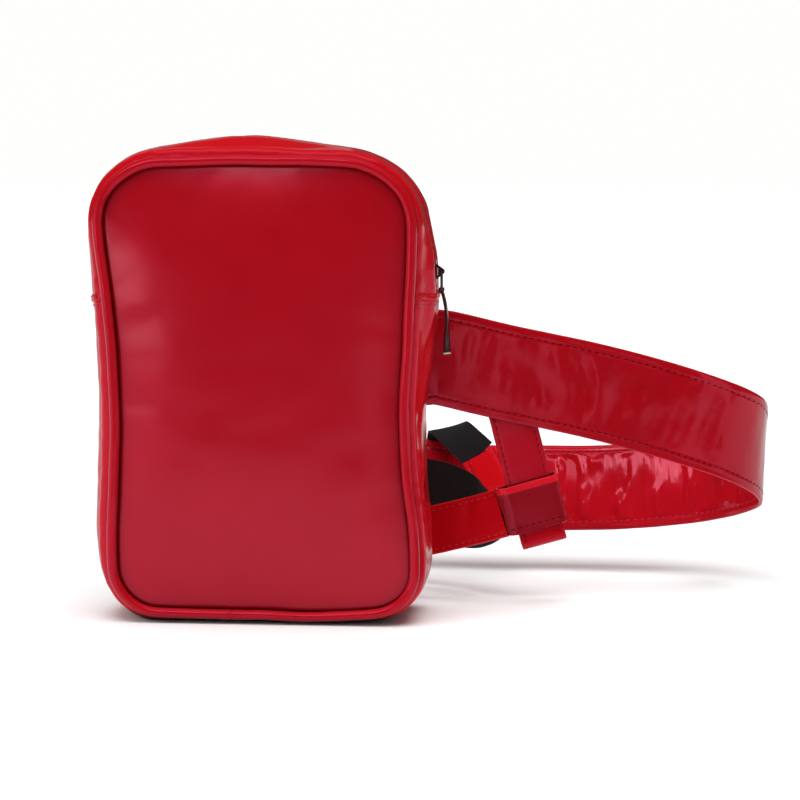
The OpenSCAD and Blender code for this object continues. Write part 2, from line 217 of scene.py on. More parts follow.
def boundary_ring(rows, columns):
    """Vertex numbers round the edge of a grid."""
    ids = np.arange(rows * columns).reshape(rows, columns)
    return np.r_[ids[0, :-1], ids[:-1, -1], ids[-1, :0:-1], ids[:0:-1, 0]]


def loft(name, sections, materials, body, slot, replaces=(), closed=False, **options):
    """Closed skin through sections[j, k], where k runs round each section."""
    rows, columns = sections.shape[:2]
    if closed:
        faces = grid_faces(rows, columns, closed_rows=True)
    else:
        faces = capped_faces(rows, columns)
    return make(name, sections.reshape(-1, 3), faces, materials, body, slot, replaces, **options)


STITCH_SINK = 0.3      # how deep the stitch ends dive
STITCH_YAW = 4.0       # spread of the stitch direction, degrees


def stitches(name, points, along, normal, material, body, length, radius, seed):
    """Row of short thread capsules whose ends dive into the leather."""
    points = np.asarray(points, float)
    along = np.broadcast_to(np.asarray(along, float), points.shape)
    normal = np.broadcast_to(np.asarray(normal, float), points.shape)
    rng = np.random.RandomState(seed)
    side = unit(np.cross(along, normal))
    yaw = np.radians(rng.normal(0, STITCH_YAW, len(points)))[:, None]
    along = unit(along * np.cos(yaw) + side * np.sin(yaw))
    side = unit(np.cross(along, normal))
    stations = np.array([-0.5, -0.4, -0.18, 0.18, 0.4, 0.5])
    radii = np.array([0.25, 0.8, 1, 1, 0.8, 0.25])[:, None] * radius
    sink = -STITCH_SINK * np.array([1, 0.55, 0.05, 0.05, 0.55, 1])[:, None]
    angle = circle_angles(6)
    lengths = length * (1 + rng.normal(0, 0.05, len(points)))
    forward = (stations * lengths[:, None])[:, :, None, None]
    high = (sink + radii * np.cos(angle))[..., None]
    wide = (radii * np.sin(angle))[..., None]
    skin = (points[:, None, None] + forward * along[:, None, None]
            + high * normal[:, None, None] + wide * side[:, None, None])
    return make(name, skin.reshape(-1, 3), repeat_faces(capped_faces(6, 6), len(points), 36),
                material, body, "patent_red", sharp=0)


# ------------------------------------------------------------------ shader helpers
def new_material(name):
    material = bpy.data.materials.new(name)
    material.use_nodes = True
    tree = material.node_tree
    return material, tree, tree.nodes["Principled BSDF"]


def feed(tree, node, inputs):
    """Set inputs by name or number, linking those given as sockets."""
    for key, value in inputs.items():
        if isinstance(value, bpy.types.NodeSocket):
            tree.links.new(value, node.inputs[key])
        else:
            node.inputs[key].default_value = value


def add_node(tree, kind, inputs=None, **settings):
    node = tree.nodes.new(kind)
    for key, value in settings.items():
        setattr(node, key, value)
    feed(tree, node, inputs or {})
    return node


def coordinates(tree, kind="Object"):
    return add_node(tree, "ShaderNodeTexCoord").outputs[kind]


def separate(tree, vector):
    return add_node(tree, "ShaderNodeSeparateXYZ", {0: vector}).outputs


def calculate(tree, operation, *values):
    inputs = dict(enumerate(values))
    return add_node(tree, "ShaderNodeMath", inputs, operation=operation).outputs[0]


def map_range(tree, value, source=(0, 1), target=(0, 1), smooth=False):
    inputs = dict(enumerate((value, *source, *target)))
    kind = "SMOOTHSTEP" if smooth else "LINEAR"
    return add_node(tree, "ShaderNodeMapRange", inputs, interpolation_type=kind).outputs[0]


def mix_float(tree, factor, a, b):
    return add_node(tree, "ShaderNodeMix", {0: factor, 2: a, 3: b}, data_type="FLOAT").outputs[0]


def mix_colour(tree, factor, a, b):
    return add_node(tree, "ShaderNodeMix", {0: factor, 6: a, 7: b}, data_type="RGBA").outputs[2]


def noise_texture(tree, vector, size, detail=3.0, rough=0.5):
    """Noise with features of the given size in mm."""
    inputs = {"Vector": vector, "Scale": 1000.0 / size, "Detail": detail, "Roughness": rough}
    return add_node(tree, "ShaderNodeTexNoise", inputs).outputs["Fac"]


def ramp(tree, factor, first, last):
    """Two-stop colour ramp; a stop is (position, colour)."""
    node = add_node(tree, "ShaderNodeValToRGB", {0: factor})
    for element, (position, colour) in zip(node.color_ramp.elements, (first, last)):
        element.position = position
        element.color = (*colour, 1)
    return node.outputs[0]


def bump_chain(tree, *layers):
    """Stacked bumps; a layer is (height socket, depth in mm)."""
    normal = None
    for height, depth in layers:
        inputs = {"Strength": 1.0, "Distance": depth / 1000.0, "Height": height}
        if normal is not None:
            inputs["Normal"] = normal
        normal = add_node(tree, "ShaderNodeBump", inputs).outputs[0]
    return normal


def scaled(colour, factor):
    return tuple(c * factor for c in colour)


# ------------------------------------------------------------------ material kinds
def patent(name, base, shade, rough, coat_rough, swell, ripple, coat=0.26, grain=0.006):
    """Patent faux leather: pigmented skin under a clear gloss film that isn't quite flat.

    shade darkens the darker patches; swell, ripple and grain are bump depths in mm.
    """
    material, tree, shader = new_material(name)
    place = coordinates(tree)
    colour = ramp(tree, noise_texture(tree, place, size=34), (0.25, scaled(base, shade)),
                  (0.8, base))
    # convex edges are mixed towards a lighter red
    pointed = add_node(tree, "ShaderNodeNewGeometry").outputs["Pointiness"]
    convex_edge_mask = ramp(tree, pointed, (0.50, (0, 0, 0)), (0.60, (1, 1, 1)))
    light = (min(1, base[0] * 1.25 + 0.04), base[1] * 1.8 + 0.008, base[2] * 1.8 + 0.01, 1)
    colour = mix_colour(tree, calculate(tree, "MULTIPLY", convex_edge_mask, 0.35), colour, light)
    # creases and gaps are painted darker: painted shade from an occlusion mask
    occlusion = add_node(tree, "ShaderNodeAmbientOcclusion", {"Distance": 0.007}, samples=5)
    painted_crease_shade = map_range(tree, occlusion.outputs["AO"], source=(0.25, 0.85), target=(0.16, 1.0))
    shaded = add_node(tree, "ShaderNodeVectorMath", {0: colour, "Scale": painted_crease_shade},
                      operation="SCALE")
    roughness = map_range(tree, noise_texture(tree, place, size=11, detail=4, rough=0.6),
                          target=(rough * 0.85, rough * 1.2))
    coat_roughness = map_range(tree, noise_texture(tree, place, size=19, detail=4, rough=0.65),
                               source=(0.3, 0.75), target=(coat_rough * 0.75, coat_rough * 1.5))
    normal = bump_chain(
        tree,
        (noise_texture(tree, place, size=26, detail=2, rough=0.45), swell),
        (noise_texture(tree, place, size=5.5, detail=3, rough=0.55), ripple),
        (noise_texture(tree, place, size=0.55, detail=2, rough=0.5), grain))
    feed(tree, shader, {
        "Base Color": shaded.outputs[0], "Roughness": roughness,
        "Specular Tint": (1.0, 0.12, 0.30, 1), "Specular IOR Level": 1.0,
        "Coat Weight": coat, "Coat IOR": 1.5, "Coat Roughness": coat_roughness,
        "Normal": normal, "Coat Normal": normal})
    return material


def plain(name, base, shade, patch, rough, bump, bump_size, metal=0.0, coat=0.0, sheen=0.0,
          specular=0.5):
    """Mottled material; patch and bump_size are feature sizes, bump a depth, all in mm."""
    material, tree, shader = new_material(name)
    place = coordinates(tree)
    mottle = noise_texture(tree, place, size=patch, detail=4, rough=0.6)
    roughness = map_range(tree, noise_texture(tree, place, size=patch * 0.6),
                          target=(rough * 0.8, min(1, rough * 1.2)))
    feed(tree, shader, {
        "Base Color": ramp(tree, mottle, (0.3, scaled(base, shade)), (0.72, base)),
        "Roughness": roughness, "Metallic": metal, "Coat Weight": coat,
        "Specular IOR Level": specular, "Sheen Weight": sheen,
        "Normal": bump_chain(tree, (noise_texture(tree, place, size=bump_size), bump))})
    return material


def woven(name, base, shade, weft_pitch, rib_pitch, rough, depth, rib=0.5, sheen=0.15):
    """Ribbed or woven band. The map's u is length and v is width, both in metres.

    Pitches and depth are in mm; rib is the share of lengthwise ribs against the weft.
    """
    material, tree, shader = new_material(name)
    length, width = separate(tree, coordinates(tree, "UV"))[:2]

    def wave(coordinate, pitch, phase=None):
        angle = calculate(tree, "MULTIPLY", coordinate, 2 * math.pi * 1000 / pitch)
        if phase is not None:
            angle = calculate(tree, "ADD", angle, phase)
        return calculate(tree, "MULTIPLY_ADD", calculate(tree, "SINE", angle), 0.5, 0.5)

    ribs = wave(width, rib_pitch)
    # the weft steps by half a period from rib to rib
    rib_number = calculate(tree, "FLOOR", calculate(tree, "MULTIPLY", width, 1000 / rib_pitch))
    weft = wave(length, weft_pitch, calculate(tree, "MULTIPLY", rib_number, math.pi))
    height = mix_float(tree, rib, weft, ribs)
    place = coordinates(tree)
    stain = calculate(tree, "MULTIPLY", noise_texture(tree, place, size=9), 0.4)
    # the hollows of the weave are painted darker as shade, and the stain adds random darker
    # patches
    hollow_shade_and_stain = calculate(tree, "MULTIPLY_ADD", height, 0.7, stain)
    fuzz = noise_texture(tree, place, size=0.35, detail=2)
    feed(tree, shader, {
        "Base Color": ramp(tree, hollow_shade_and_stain, (0.15, scaled(base, shade)), (0.85, base)),
        "Roughness": rough, "Sheen Weight": sheen,
        "Normal": bump_chain(tree, (height, depth), (fuzz, 0.03))})
    return material


# ------------------------------------------------------------------ materials
# The patent red parts are one leather. Their base reds differ to paint in light and shade: the
# side walls and back panel, the belt's inner face, the end tab, the hanger and the leg band are
# lighter painted-lit copies, and the sleeve is a darker painted-shade copy. The panel, piping
# and belt stay near the leather's own red.
PANEL_RED = patent("patent_red_panel", (0.36, 0.0026, 0.0062), shade=0.9, rough=0.24,
                   coat_rough=0.14, swell=0.16, ripple=0.02, grain=0.004)
# painted-lit copy: the side walls and back panel are painted a lighter red
SIDE_RED_PAINTED_LIT = patent("patent_red_side", (0.51, 0.0030, 0.0072), shade=0.86, rough=0.17,
                  coat_rough=0.08, coat=0.05, swell=0.6, ripple=0.07)
PIPING_RED = patent("patent_red_piping", (0.41, 0.0028, 0.0065), shade=0.84, rough=0.17,
                    coat_rough=0.08, coat=0.08, swell=0.12, ripple=0.04)
BELT_RED = patent("patent_red_belt", (0.38, 0.0026, 0.0062), shade=0.82, rough=0.15,
                  coat_rough=0.06, coat=0.2, swell=0.45, ripple=0.07)
# painted-lit copy: the belt's inner face is painted a lighter, pinker red
INNER_RED_PAINTED_LIT = patent("patent_red_inner", (0.52, 0.005, 0.013), shade=0.72, rough=0.13,
                   coat_rough=0.06, coat=0.45, swell=0.3, ripple=0.03)
# painted-shade copy: the sleeve is painted a darker red
SLEEVE_RED_PAINTED_SHADE = patent("patent_red_sleeve", (0.29, 0.0018, 0.004), shade=0.8, rough=0.22,
                    coat_rough=0.11, coat=0.18, swell=0.4, ripple=0.07)
# One red thread in two copies: this one is painted dark as shade, the next one light as a
# highlight
THREAD = plain("thread_red", (0.085, 0.0012, 0.0025), shade=0.6, patch=0.6, rough=0.7,
               bump=0.05, bump_size=0.2, specular=0.12)
PAINTED_LIT_THREAD = plain("thread_bright", (0.50, 0.030, 0.050), shade=0.7, patch=0.6, rough=0.5,
                      bump=0.05, bump_size=0.2)
ZIP_TAPE = woven("zip_tape", (0.30, 0.008, 0.014), shade=0.5, weft_pitch=0.7, rib_pitch=0.7,
                 rough=0.8, depth=0.07)
ZIP_COIL = plain("zip_coil", (0.30, 0.008, 0.012), shade=0.6, patch=0.8, rough=0.38,
                 bump=0.02, bump_size=0.3)
GUNMETAL = plain("gunmetal", (0.18, 0.135, 0.135), shade=0.55, patch=1.6, rough=0.28,
                 metal=1.0, bump=0.012, bump_size=0.5)
PULL_LEATHER = plain("pull_leather", (0.052, 0.006, 0.008), shade=0.45, patch=2.0, rough=0.3,
                     bump=0.05, bump_size=0.9, coat=0.3, specular=0.25)
CUT_EDGE = plain("cut_edge", (0.62, 0.50, 0.46), shade=0.6, patch=0.8, rough=0.75,
                 bump=0.06, bump_size=0.4)
# painted-lit copies: the end tab, hanger and leg band are painted a lighter red
TAB_RED_PAINTED_LIT = patent("patent_red_tab", (0.72, 0.005, 0.010), shade=0.9, rough=0.22,
                 coat_rough=0.12, swell=0.3, ripple=0.05)
HANGER_RED_PAINTED_LIT = patent("patent_red_hanger", (0.47, 0.0028, 0.0066), shade=0.86, rough=0.22,
                    coat_rough=0.11, coat=0.10, swell=0.4, ripple=0.05)
LEG_RED_PAINTED_LIT = patent("patent_red_leg", (0.60, 0.0035, 0.008), shade=0.86, rough=0.20,
                 coat_rough=0.10, coat=0.3, swell=0.5, ripple=0.05)
ELASTIC = woven("elastic_black", (0.011, 0.0098, 0.0115), shade=0.45, weft_pitch=0.9,
                rib_pitch=1.2, rough=0.78, depth=0.07, rib=0.75, sheen=0.04)
STIFFENER = woven("stiffener", (0.30, 0.28, 0.27), shade=0.5, weft_pitch=1.2, rib_pitch=1.2,
                  rough=0.9, depth=0.1)
HOOK_TAPE = woven("hook_tape", (0.03, 0.028, 0.03), shade=0.3, weft_pitch=0.9, rib_pitch=0.9,
                  rough=0.9, depth=0.25)
LOOP_TAPE = plain("loop_tape", (0.035, 0.032, 0.035), shade=0.4, patch=0.7, rough=0.95,
                  bump=0.3, bump_size=0.5, sheen=0.6)
FOAM = plain("foam", (0.68, 0.67, 0.63), shade=0.75, patch=0.9, rough=0.95,
             bump=0.2, bump_size=0.7)
LINING = woven("lining_cloth", (0.035, 0.034, 0.037), shade=0.5, weft_pitch=0.5,
               rib_pitch=0.5, rough=0.85, depth=0.06)
BOARD = plain("board", (0.42, 0.35, 0.26), shade=0.8, patch=5.0, rough=0.85,
              bump=0.05, bump_size=0.9)

# ------------------------------------------------------------------ sizes from the frame
front_low, front_high = node_box("front_piping")
rear_low, rear_high = node_box("rear_piping")
HALF_WIDTH = front_high[0] + 0.1
BASE_Z, TOP_Z = front_low[2] - 0.1, front_high[2] + 0.1
HEIGHT = TOP_Z - BASE_Z
MID_Z = (BASE_Z + TOP_Z) / 2
FRONT_Y = (front_low[1] + front_high[1]) / 2
REAR_Y = (rear_low[1] + rear_high[1]) / 2
CORD_RADIUS = (front_high[1] - front_low[1]) / 2
SEAM_Z = node_box("gusset_seam_tabs")[0][2]        # height of the cross seams
ZIP_REACH_X = node_box("zip_gusset_front")[1][0]   # outermost x of the zip gusset
ZIP_SLOT = -node_box("zip_gusset_front")[1][1]     # half width of the zip slot
WALL_HALF = REAR_Y - CORD_RADIUS - 0.2             # half depth of the side walls

# ------------------------------------------------------------------ seam outline of the pouch
# share of the height, width factor on the left, width factor on the right
WAIST = np.array([
    (-0.03, 0.945, 1.052), (0.115, 0.948, 1.056), (0.20, 0.952, 1.050), (0.328, 0.929, 1.002),
    (0.456, 0.921, 0.985), (0.583, 0.934, 1.007), (0.711, 0.972, 1.026), (0.838, 1.022, 1.039),
    (0.924, 1.030, 1.041), (1.02, 1.030, 1.041)])
WAIST_Z = WAIST[:, 0] * HEIGHT + BASE_Z
# corner radii
BOTTOM_RIGHT, TOP_RIGHT, TOP_LEFT, BOTTOM_LEFT = 25.0, 36.5, 36.0, 27.0
OUTLINE_STEP = 1.25


def waist_factor(z, factors):
    grid = np.arange(WAIST_Z[0] - 20, WAIST_Z[-1] + 20, 1.0)
    return np.interp(z, grid, smooth_run(np.interp(grid, WAIST_Z, factors), 18, 6.0, "edge"))


def warp(x, z):
    """Draw the waist in and let the base and top edges sag."""
    left, right = waist_factor(z, WAIST[:, 1]), waist_factor(z, WAIST[:, 2])
    w = smooth01((x / HALF_WIDTH + 0.6) / 1.2)
    low = 1 - smooth01((z - BASE_Z) / 40)
    high = smooth01((z - TOP_Z + 40) / 40)
    rise = low * np.interp(x, [-75, -30, 5, 28, 60], [0.9, 0.1, 0.0, -0.9, 1.1]) \
        + high * np.interp(x, [-70, -5, 40, 70], [-0.9, 0.5, 0.0, -1.2])
    return x * (left * (1 - w) + right * w), z + rise


def build_outline():
    """Points (x, z) counter-clockwise seen from the front, from the middle of the base."""
    points = [(0, BASE_Z), (HALF_WIDTH - BOTTOM_RIGHT, BASE_Z)]
    for x, z, radius, start in (
            (HALF_WIDTH - BOTTOM_RIGHT, BASE_Z + BOTTOM_RIGHT, BOTTOM_RIGHT, -90),
            (HALF_WIDTH - TOP_RIGHT, TOP_Z - TOP_RIGHT, TOP_RIGHT, 0),
            (-HALF_WIDTH + TOP_LEFT, TOP_Z - TOP_LEFT, TOP_LEFT, 90),
            (-HALF_WIDTH + BOTTOM_LEFT, BASE_Z + BOTTOM_LEFT, BOTTOM_LEFT, 180)):
        t = np.radians(np.linspace(start, start + 90, 60))
        points += list(zip(x + radius * np.cos(t), z + radius * np.sin(t)))
    points = np.array(points + [(0, BASE_Z)], float)
    s = arc_length(points)
    fine = resample(np.linspace(0, s[-1], 2400, endpoint=False), s, points)
    fine = np.stack(warp(fine[:, 0], fine[:, 1]), 1)
    fine = np.vstack([fine, fine[:1]])
    s = arc_length(fine)
    count = int(round(s[-1] / OUTLINE_STEP / 4)) * 4
    arc = np.arange(count) * s[-1] / count
    outline = resample(arc, s, fine)
    outline = np.stack([smooth_run(outline[:, i], 8, 3.0, "wrap") for i in (0, 1)], 1)
    return outline, arc, s[-1]


OUTLINE, ARC, GIRTH = build_outline()
COUNT = len(OUTLINE)
tangent = unit(np.roll(OUTLINE, -1, 0) - np.roll(OUTLINE, 1, 0))
OUTWARD = np.stack([tangent[:, 1], -tangent[:, 0]], 1)


def outline_at(s):
    """Outline point and outward normal, both (x, z), at arc length s (wraps)."""
    i = np.mod(s, GIRTH) / GIRTH * COUNT
    first = np.floor(i).astype(int) % COUNT
    second = (first + 1) % COUNT
    f = (i - np.floor(i))[..., None]
    return (OUTLINE[first] * (1 - f) + OUTLINE[second] * f,
            unit(OUTWARD[first] * (1 - f) + OUTWARD[second] * f))


def on_wall(s, level, y):
    """Points at a level outside the outline and at depth y."""
    point, normal = outline_at(s)
    x = point[..., 0] + level * normal[..., 0]
    z = point[..., 1] + level * normal[..., 1]
    return np.stack(np.broadcast_arrays(x, y, z), -1)


def index_at(side, z):
    """Outline index where the right (+1) or left (-1) side crosses height z."""
    half = np.arange(COUNT)[OUTLINE[:, 0] * side > 30]
    return half[np.argmin(np.abs(OUTLINE[half, 1] - z))]


def arc_at(side, z):
    return ARC[index_at(side, z)]


def arc_distance(s, centre):
    return np.abs((s - centre + GIRTH / 2) % GIRTH - GIRTH / 2)


SEAM_RIGHT, SEAM_LEFT = arc_at(1, SEAM_Z), arc_at(-1, SEAM_Z)

# level of the wall's middle: (height, level) up the sides, (x, level) along top and base
SWELL_RIGHT = [(30, 2.6), (55, 3.0), (112, 6.0), (140, 8.0), (158, 8.6),
               (184, ZIP_REACH_X - OUTLINE[index_at(1, 184), 0]), (203, 4.4), (220, 1.6)]
SWELL_LEFT = [(205, 6.2), (175, 8.6), (150, 9.8), (112, 10.2), (80, 10.2), (50, 9.8),
              (30, 9.0), (16, 6.0)]
SWELL_TOP = [(62, 2.4), (48, 3.8), (30, 6.2), (12, 8.8), (-5, 10.2), (-22, 9.2), (-45, 5.6),
             (-62, 4.6)]
SWELL_BASE = [(-35, 1.6), (42, 1.7)]


def swell_curve():
    keys = [(0, 1.7), (GIRTH, 1.7)]
    for side, table in ((1, SWELL_RIGHT), (-1, SWELL_LEFT)):
        keys += [(arc_at(side, z), level) for z, level in table]
    for stretch, table in ((OUTLINE[:, 1] > TOP_Z - 20, SWELL_TOP),
                           (OUTLINE[:, 1] < BASE_Z + 6, SWELL_BASE)):
        ids = np.where(stretch)[0]
        keys += [(ARC[ids[np.argmin(np.abs(OUTLINE[ids, 0] - x))]], level)
                 for x, level in table]
    s, level = np.array(sorted(keys)).T
    grid = np.arange(0, GIRTH, 1.0)
    values = np.interp(grid, np.r_[s - GIRTH, s, s + GIRTH], np.r_[level, level, level])
    return grid, smooth_run(values, 24, 7.0, "wrap")


SWELL_S, SWELL_LEVEL = swell_curve()


def bulge(s):
    return np.interp(np.mod(s, GIRTH), SWELL_S, SWELL_LEVEL, period=GIRTH)


# ------------------------------------------------------------------ piping
PIPING_RADIUS = CORD_RADIUS + 0.35     # the cord with its leather skin


def piping(name, y, node, seed):
    s = ARC
    x, z = OUTLINE_AT_ARC.T
    centre = on_wall(s, -PIPING_RADIUS - 0.05 + 0.3 * noise_on(s, seed, 60, seed, 2),
                     y + 0.25 * noise_on(s, 0, 43, seed + 5, 2))
    radius = PIPING_RADIUS * (1 + 0.02 * noise_on(s, 0, 21, seed + 9, 3))
    # the cord's ends meet at the base: a slight bulge with a narrow step
    from_join = arc_distance(s, GIRTH - 12 if y < 0 else 8)
    radius = radius * (1 + 0.10 * hill(from_join, 0, 5) - 0.16 * hill(from_join, 0, 0.9))
    # tiny gathers of the skin round the corners
    turn = np.clip(1 - np.abs(np.abs(x) - HALF_WIDTH + 12) / 26, 0, 1) \
        * np.clip(1 - np.minimum(z - BASE_Z, TOP_Z - z) / 40, 0, 1)
    radius = radius * (1 + 0.03 * turn * np.sin(2 * math.pi * s / 2.9))
    along = unit(np.roll(centre, -1, 0) - np.roll(centre, 1, 0))
    across = unit(np.cross(along, [0.0, 1.0, 0.0]))
    other = np.cross(across, along)
    angle = circle_angles(20)[None, :, None]
    skin = centre[:, None] + radius[:, None, None] * (np.cos(angle) * across[:, None]
                                                      + np.sin(angle) * other[:, None])
    loft(name, skin, PIPING_RED, "pouch", "patent_red", [node], closed=True, sharp=60)


OUTLINE_AT_ARC = outline_at(ARC)[0]
piping("piping_front", FRONT_Y, "front_piping", seed=1)
piping("piping_rear", REAR_Y, "rear_piping", seed=2)

# ------------------------------------------------------------------ panels
PANEL_INSET = 5.4                       # where the panel's face meets the cord
PANEL_COLUMNS, PANEL_ROWS = 46, 68
CROWN = 9.4                             # how far the front panel swells


def panel_grid():
    """Quad grid (x, z) that fills the inset outline; rows run up."""
    corners = [int(np.argmax(OUTLINE[:, 0] * side + OUTLINE[:, 1] * up))
               for side, up in ((-1, -1), (1, -1), (1, 1), (-1, 1))]
    inset = OUTLINE - OUTWARD * PANEL_INSET

    def edge(start, end, count):
        index = (start + np.linspace(0, (end - start) % COUNT, count)) % COUNT
        a = np.floor(index).astype(int) % COUNT
        f = (index - np.floor(index))[:, None]
        return inset[a] * (1 - f) + inset[(a + 1) % COUNT] * f

    bottom_left, bottom_right, top_right, top_left = corners
    bottom = edge(bottom_left, bottom_right, PANEL_COLUMNS)
    right = edge(bottom_right, top_right, PANEL_ROWS)
    top = edge(top_right, top_left, PANEL_COLUMNS)[::-1]
    left = edge(top_left, bottom_left, PANEL_ROWS)[::-1]
    u = np.linspace(0, 1, PANEL_COLUMNS)[None, :, None]
    v = np.linspace(0, 1, PANEL_ROWS)[:, None, None]
    grid = ((1 - v) * bottom[None] + v * top[None]
            + (1 - u) * left[:, None] + u * right[:, None]
            - ((1 - u) * (1 - v) * bottom[0] + u * (1 - v) * bottom[-1]
               + (1 - u) * v * top[0] + u * v * top[-1]))
    for _ in range(60):
        grid[1:-1, 1:-1] = neighbour_mean(grid)
    return grid


def distance_to_outline(points):
    distance = np.full(points.shape[:-1], 1e9)
    for i in range(0, COUNT, 6):
        distance = np.minimum(distance, np.linalg.norm(points - OUTLINE[i], axis=-1))
    return distance


GRID = panel_grid()
RIM = distance_to_outline(GRID) - PANEL_INSET      # distance of each grid point from the rim


def inflate():
    """Cloth simulation: the sewn-down front panel is blown up from behind."""
    rows, columns = GRID.shape[:2]
    points = np.stack([GRID[..., 0], np.zeros((rows, columns)), GRID[..., 1]], -1)
    points = points.reshape(-1, 3)
    points[:, 1] -= 0.25 * noise(points[:, [0, 2]], 30, 4, 2) * smooth01(RIM.ravel() / 12)
    mesh = bpy.data.meshes.new("sim")
    mesh.from_pydata((points / 1000).tolist(), [], grid_faces(rows, columns, False))
    mesh.update()
    obj = bpy.data.objects.new("sim", mesh)
    bpy.context.scene.collection.objects.link(obj)
    pinned = np.unique(boundary_ring(rows, columns))
    obj.vertex_groups.new(name="pin").add([int(i) for i in pinned], 1.0, "REPLACE")
    if mesh.polygons[0].normal.y > 0:
        mesh.flip_normals()
    modifier = obj.modifiers.new("cloth", "CLOTH")
    cloth = modifier.settings
    cloth.quality = 6
    cloth.mass = 0.25
    cloth.tension_stiffness = cloth.compression_stiffness = 18
    cloth.shear_stiffness = 8
    cloth.bending_stiffness = 6.0
    cloth.tension_damping = cloth.compression_damping = cloth.shear_damping = 8
    cloth.air_damping = 4
    cloth.vertex_group_mass = "pin"
    cloth.use_pressure = True
    cloth.uniform_pressure_force = 4.0
    cloth.shrink_min = -0.006
    cloth.effector_weights.gravity = 0
    modifier.point_cache.frame_start = 1
    modifier.point_cache.frame_end = 20
    scene = bpy.context.scene
    for step in range(1, 21):
        scene.frame_set(step)
    evaluated = obj.evaluated_get(bpy.context.evaluated_depsgraph_get())
    result = evaluated.to_mesh()
    shape = np.zeros(len(result.vertices) * 3, np.float32)
    result.vertices.foreach_get("co", shape)
    shape = shape.reshape(rows, columns, 3) * 1000.0
    evaluated.to_mesh_clear()
    bpy.data.objects.remove(obj)
    bpy.data.meshes.remove(mesh)
    scene.frame_set(1)
    return shape


blown = inflate()
lift = -blown[..., 1]
lift = lift / max(lift.max(), 1e-6) * CROWN
# the foam behind the skin evens out most of the simulated creases
calm = lift.copy()
for _ in range(140):
    calm[1:-1, 1:-1] = neighbour_mean(calm) + 0.004
crease = (lift - calm) * (0.08 + 0.10 * np.exp(-RIM / 14))
FRONT_LIFT = calm * CROWN / calm.max() + crease
REAR_LIFT = 0.9 * np.tanh(RIM / 8) - 0.6 * smooth01(RIM / 40)
FRONT_SHIFT = np.clip(blown[..., [0, 2]] - GRID, -0.8, 0.8) * 0.25


def panel(name, flat, y, outward, depth, node, material, seed):
    """Front or back face: the skin, its turned-in rim under the piping, and a back layer."""
    rows, columns = GRID.shape[:2]
    # short gathers that start at the rim, strongest at the corners
    angle = np.arctan2(GRID[..., 1] - MID_Z, GRID[..., 0])
    corner = hill(np.abs(GRID[..., 0]), HALF_WIDTH - 14, 22) \
        * hill(np.abs(GRID[..., 1] - MID_Z), HEIGHT / 2 - 16, 26)
    gather = corner * np.exp(-RIM / 9) * np.sin(angle * 75 + 2 * np.sin(angle * 9)) \
        * (1 - np.exp(-RIM / 1.2))
    depth = depth + 0.22 * gather + 0.10 * noise(GRID, 38, seed, 2) * smooth01(RIM / 10)
    skin = np.stack([flat[..., 0], y + outward * depth, flat[..., 1]], -1).reshape(-1, 3)
    ring = boundary_ring(rows, columns)
    rim = skin[ring]
    away = unit((rim - np.array([0, 0, MID_Z])) * np.array([1, 0, 1]))
    turned = rim + away * 0.9 - np.array([0, outward * 0.5, 0])
    tucked = rim + away * 0.7 - np.array([0, outward * 1.3, 0])
    back = skin - np.array([0, outward * 1.2, 0])
    grid = grid_faces(rows, columns, False)
    faces = list(grid)
    count = len(ring)
    a = rows * columns
    b, c = a + count, a + 2 * count         # first points of tucked rim and back layer
    following = [(i, (i + 1) % count) for i in range(count)]
    for i, j in following:
        faces.append((ring[i], ring[j], a + j, a + i))
        faces.append((a + i, a + j, b + j, b + i))
    faces += shift_reversed(grid, c)
    faces += [(b + i, b + j, c + ring[j], c + ring[i]) for i, j in following]
    make(name, np.vstack([skin, turned, tucked, back]), faces, material, "pouch",
         "patent_red", [node], subdivide=1)


panel("panel_front", GRID + FRONT_SHIFT, FRONT_Y + 1.7, -1, FRONT_LIFT, "front_panel",
      PANEL_RED, seed=21)
panel("panel_back", GRID, REAR_Y - 0.1, 1, REAR_LIFT, "back_panel", SIDE_RED_PAINTED_LIT, seed=22)

# ------------------------------------------------------------------ gussets
LEATHER = np.array([1.15, 0.0])            # leather thickness as (level, depth)
TOPSTITCH_Y = ZIP_SLOT + 2.6
WALL_STEP = 1.3


def crumple(points, s, v, seed, depth):
    """Soft creases across the side walls, stronger beside the sewn edges."""
    near = np.exp(-((WALL_HALF - np.abs(v)) / 7.0) ** 2)
    folds = np.sin(s * 0.52 + 2.2 * np.sin(s * 0.083) + 0.05 * v) * near * 0.55
    return depth * (0.8 * noise(points, 34, seed, 2) + folds
                    + 0.25 * noise(points, 11, seed + 3, 2))


def zip_fold_height(s):
    """How far the folds on both sides of the zip stand proud of it, along the outline."""
    return 0.5 + 2.6 * np.exp(-(arc_distance(s, arc_at(1, 176)) / 26.0) ** 4)


def wall_profile(s, v):
    """Level of a side wall at depth v: sewn down at the cord, a rounded ridge, the swell."""
    edge = WALL_HALF - np.abs(v)
    x, z = outline_at(s)[0].T
    left = smooth01((45 - x) / 60)             # the left side keeps a firm ridge
    middle = bulge(s)
    full = 1.9 * left * smooth01((195 - z) / 35) * smooth01((z - 12) / 30)
    shoulder = np.minimum(middle, 2.6 + 0.5 * left + full)
    left, middle, shoulder = left[:, None], middle[:, None], shoulder[:, None]
    rise = 1 - np.exp(-(edge / 2.1) ** 1.5)
    swell = smooth01((edge - 2) / (WALL_HALF - 8))
    level = -3.0 + (shoulder + 3.0) * rise + (middle - shoulder) * swell
    level = level + left * (0.55 * hill(edge, 4.4, 1.7) - 0.35 * hill(edge, 8.5, 2.4))
    return level + zip_fold_height(s)[:, None] * hill(np.abs(v), 13.5, 5.2)


# folded edge beside the zip: (level from the wall's middle, depth from the edge)
ZIP_FOLD = [(-0.35, -0.42), (-1.0, -0.55), (-1.7, -0.2), (-1.9, 2.0), (-2.0, 6.0)]


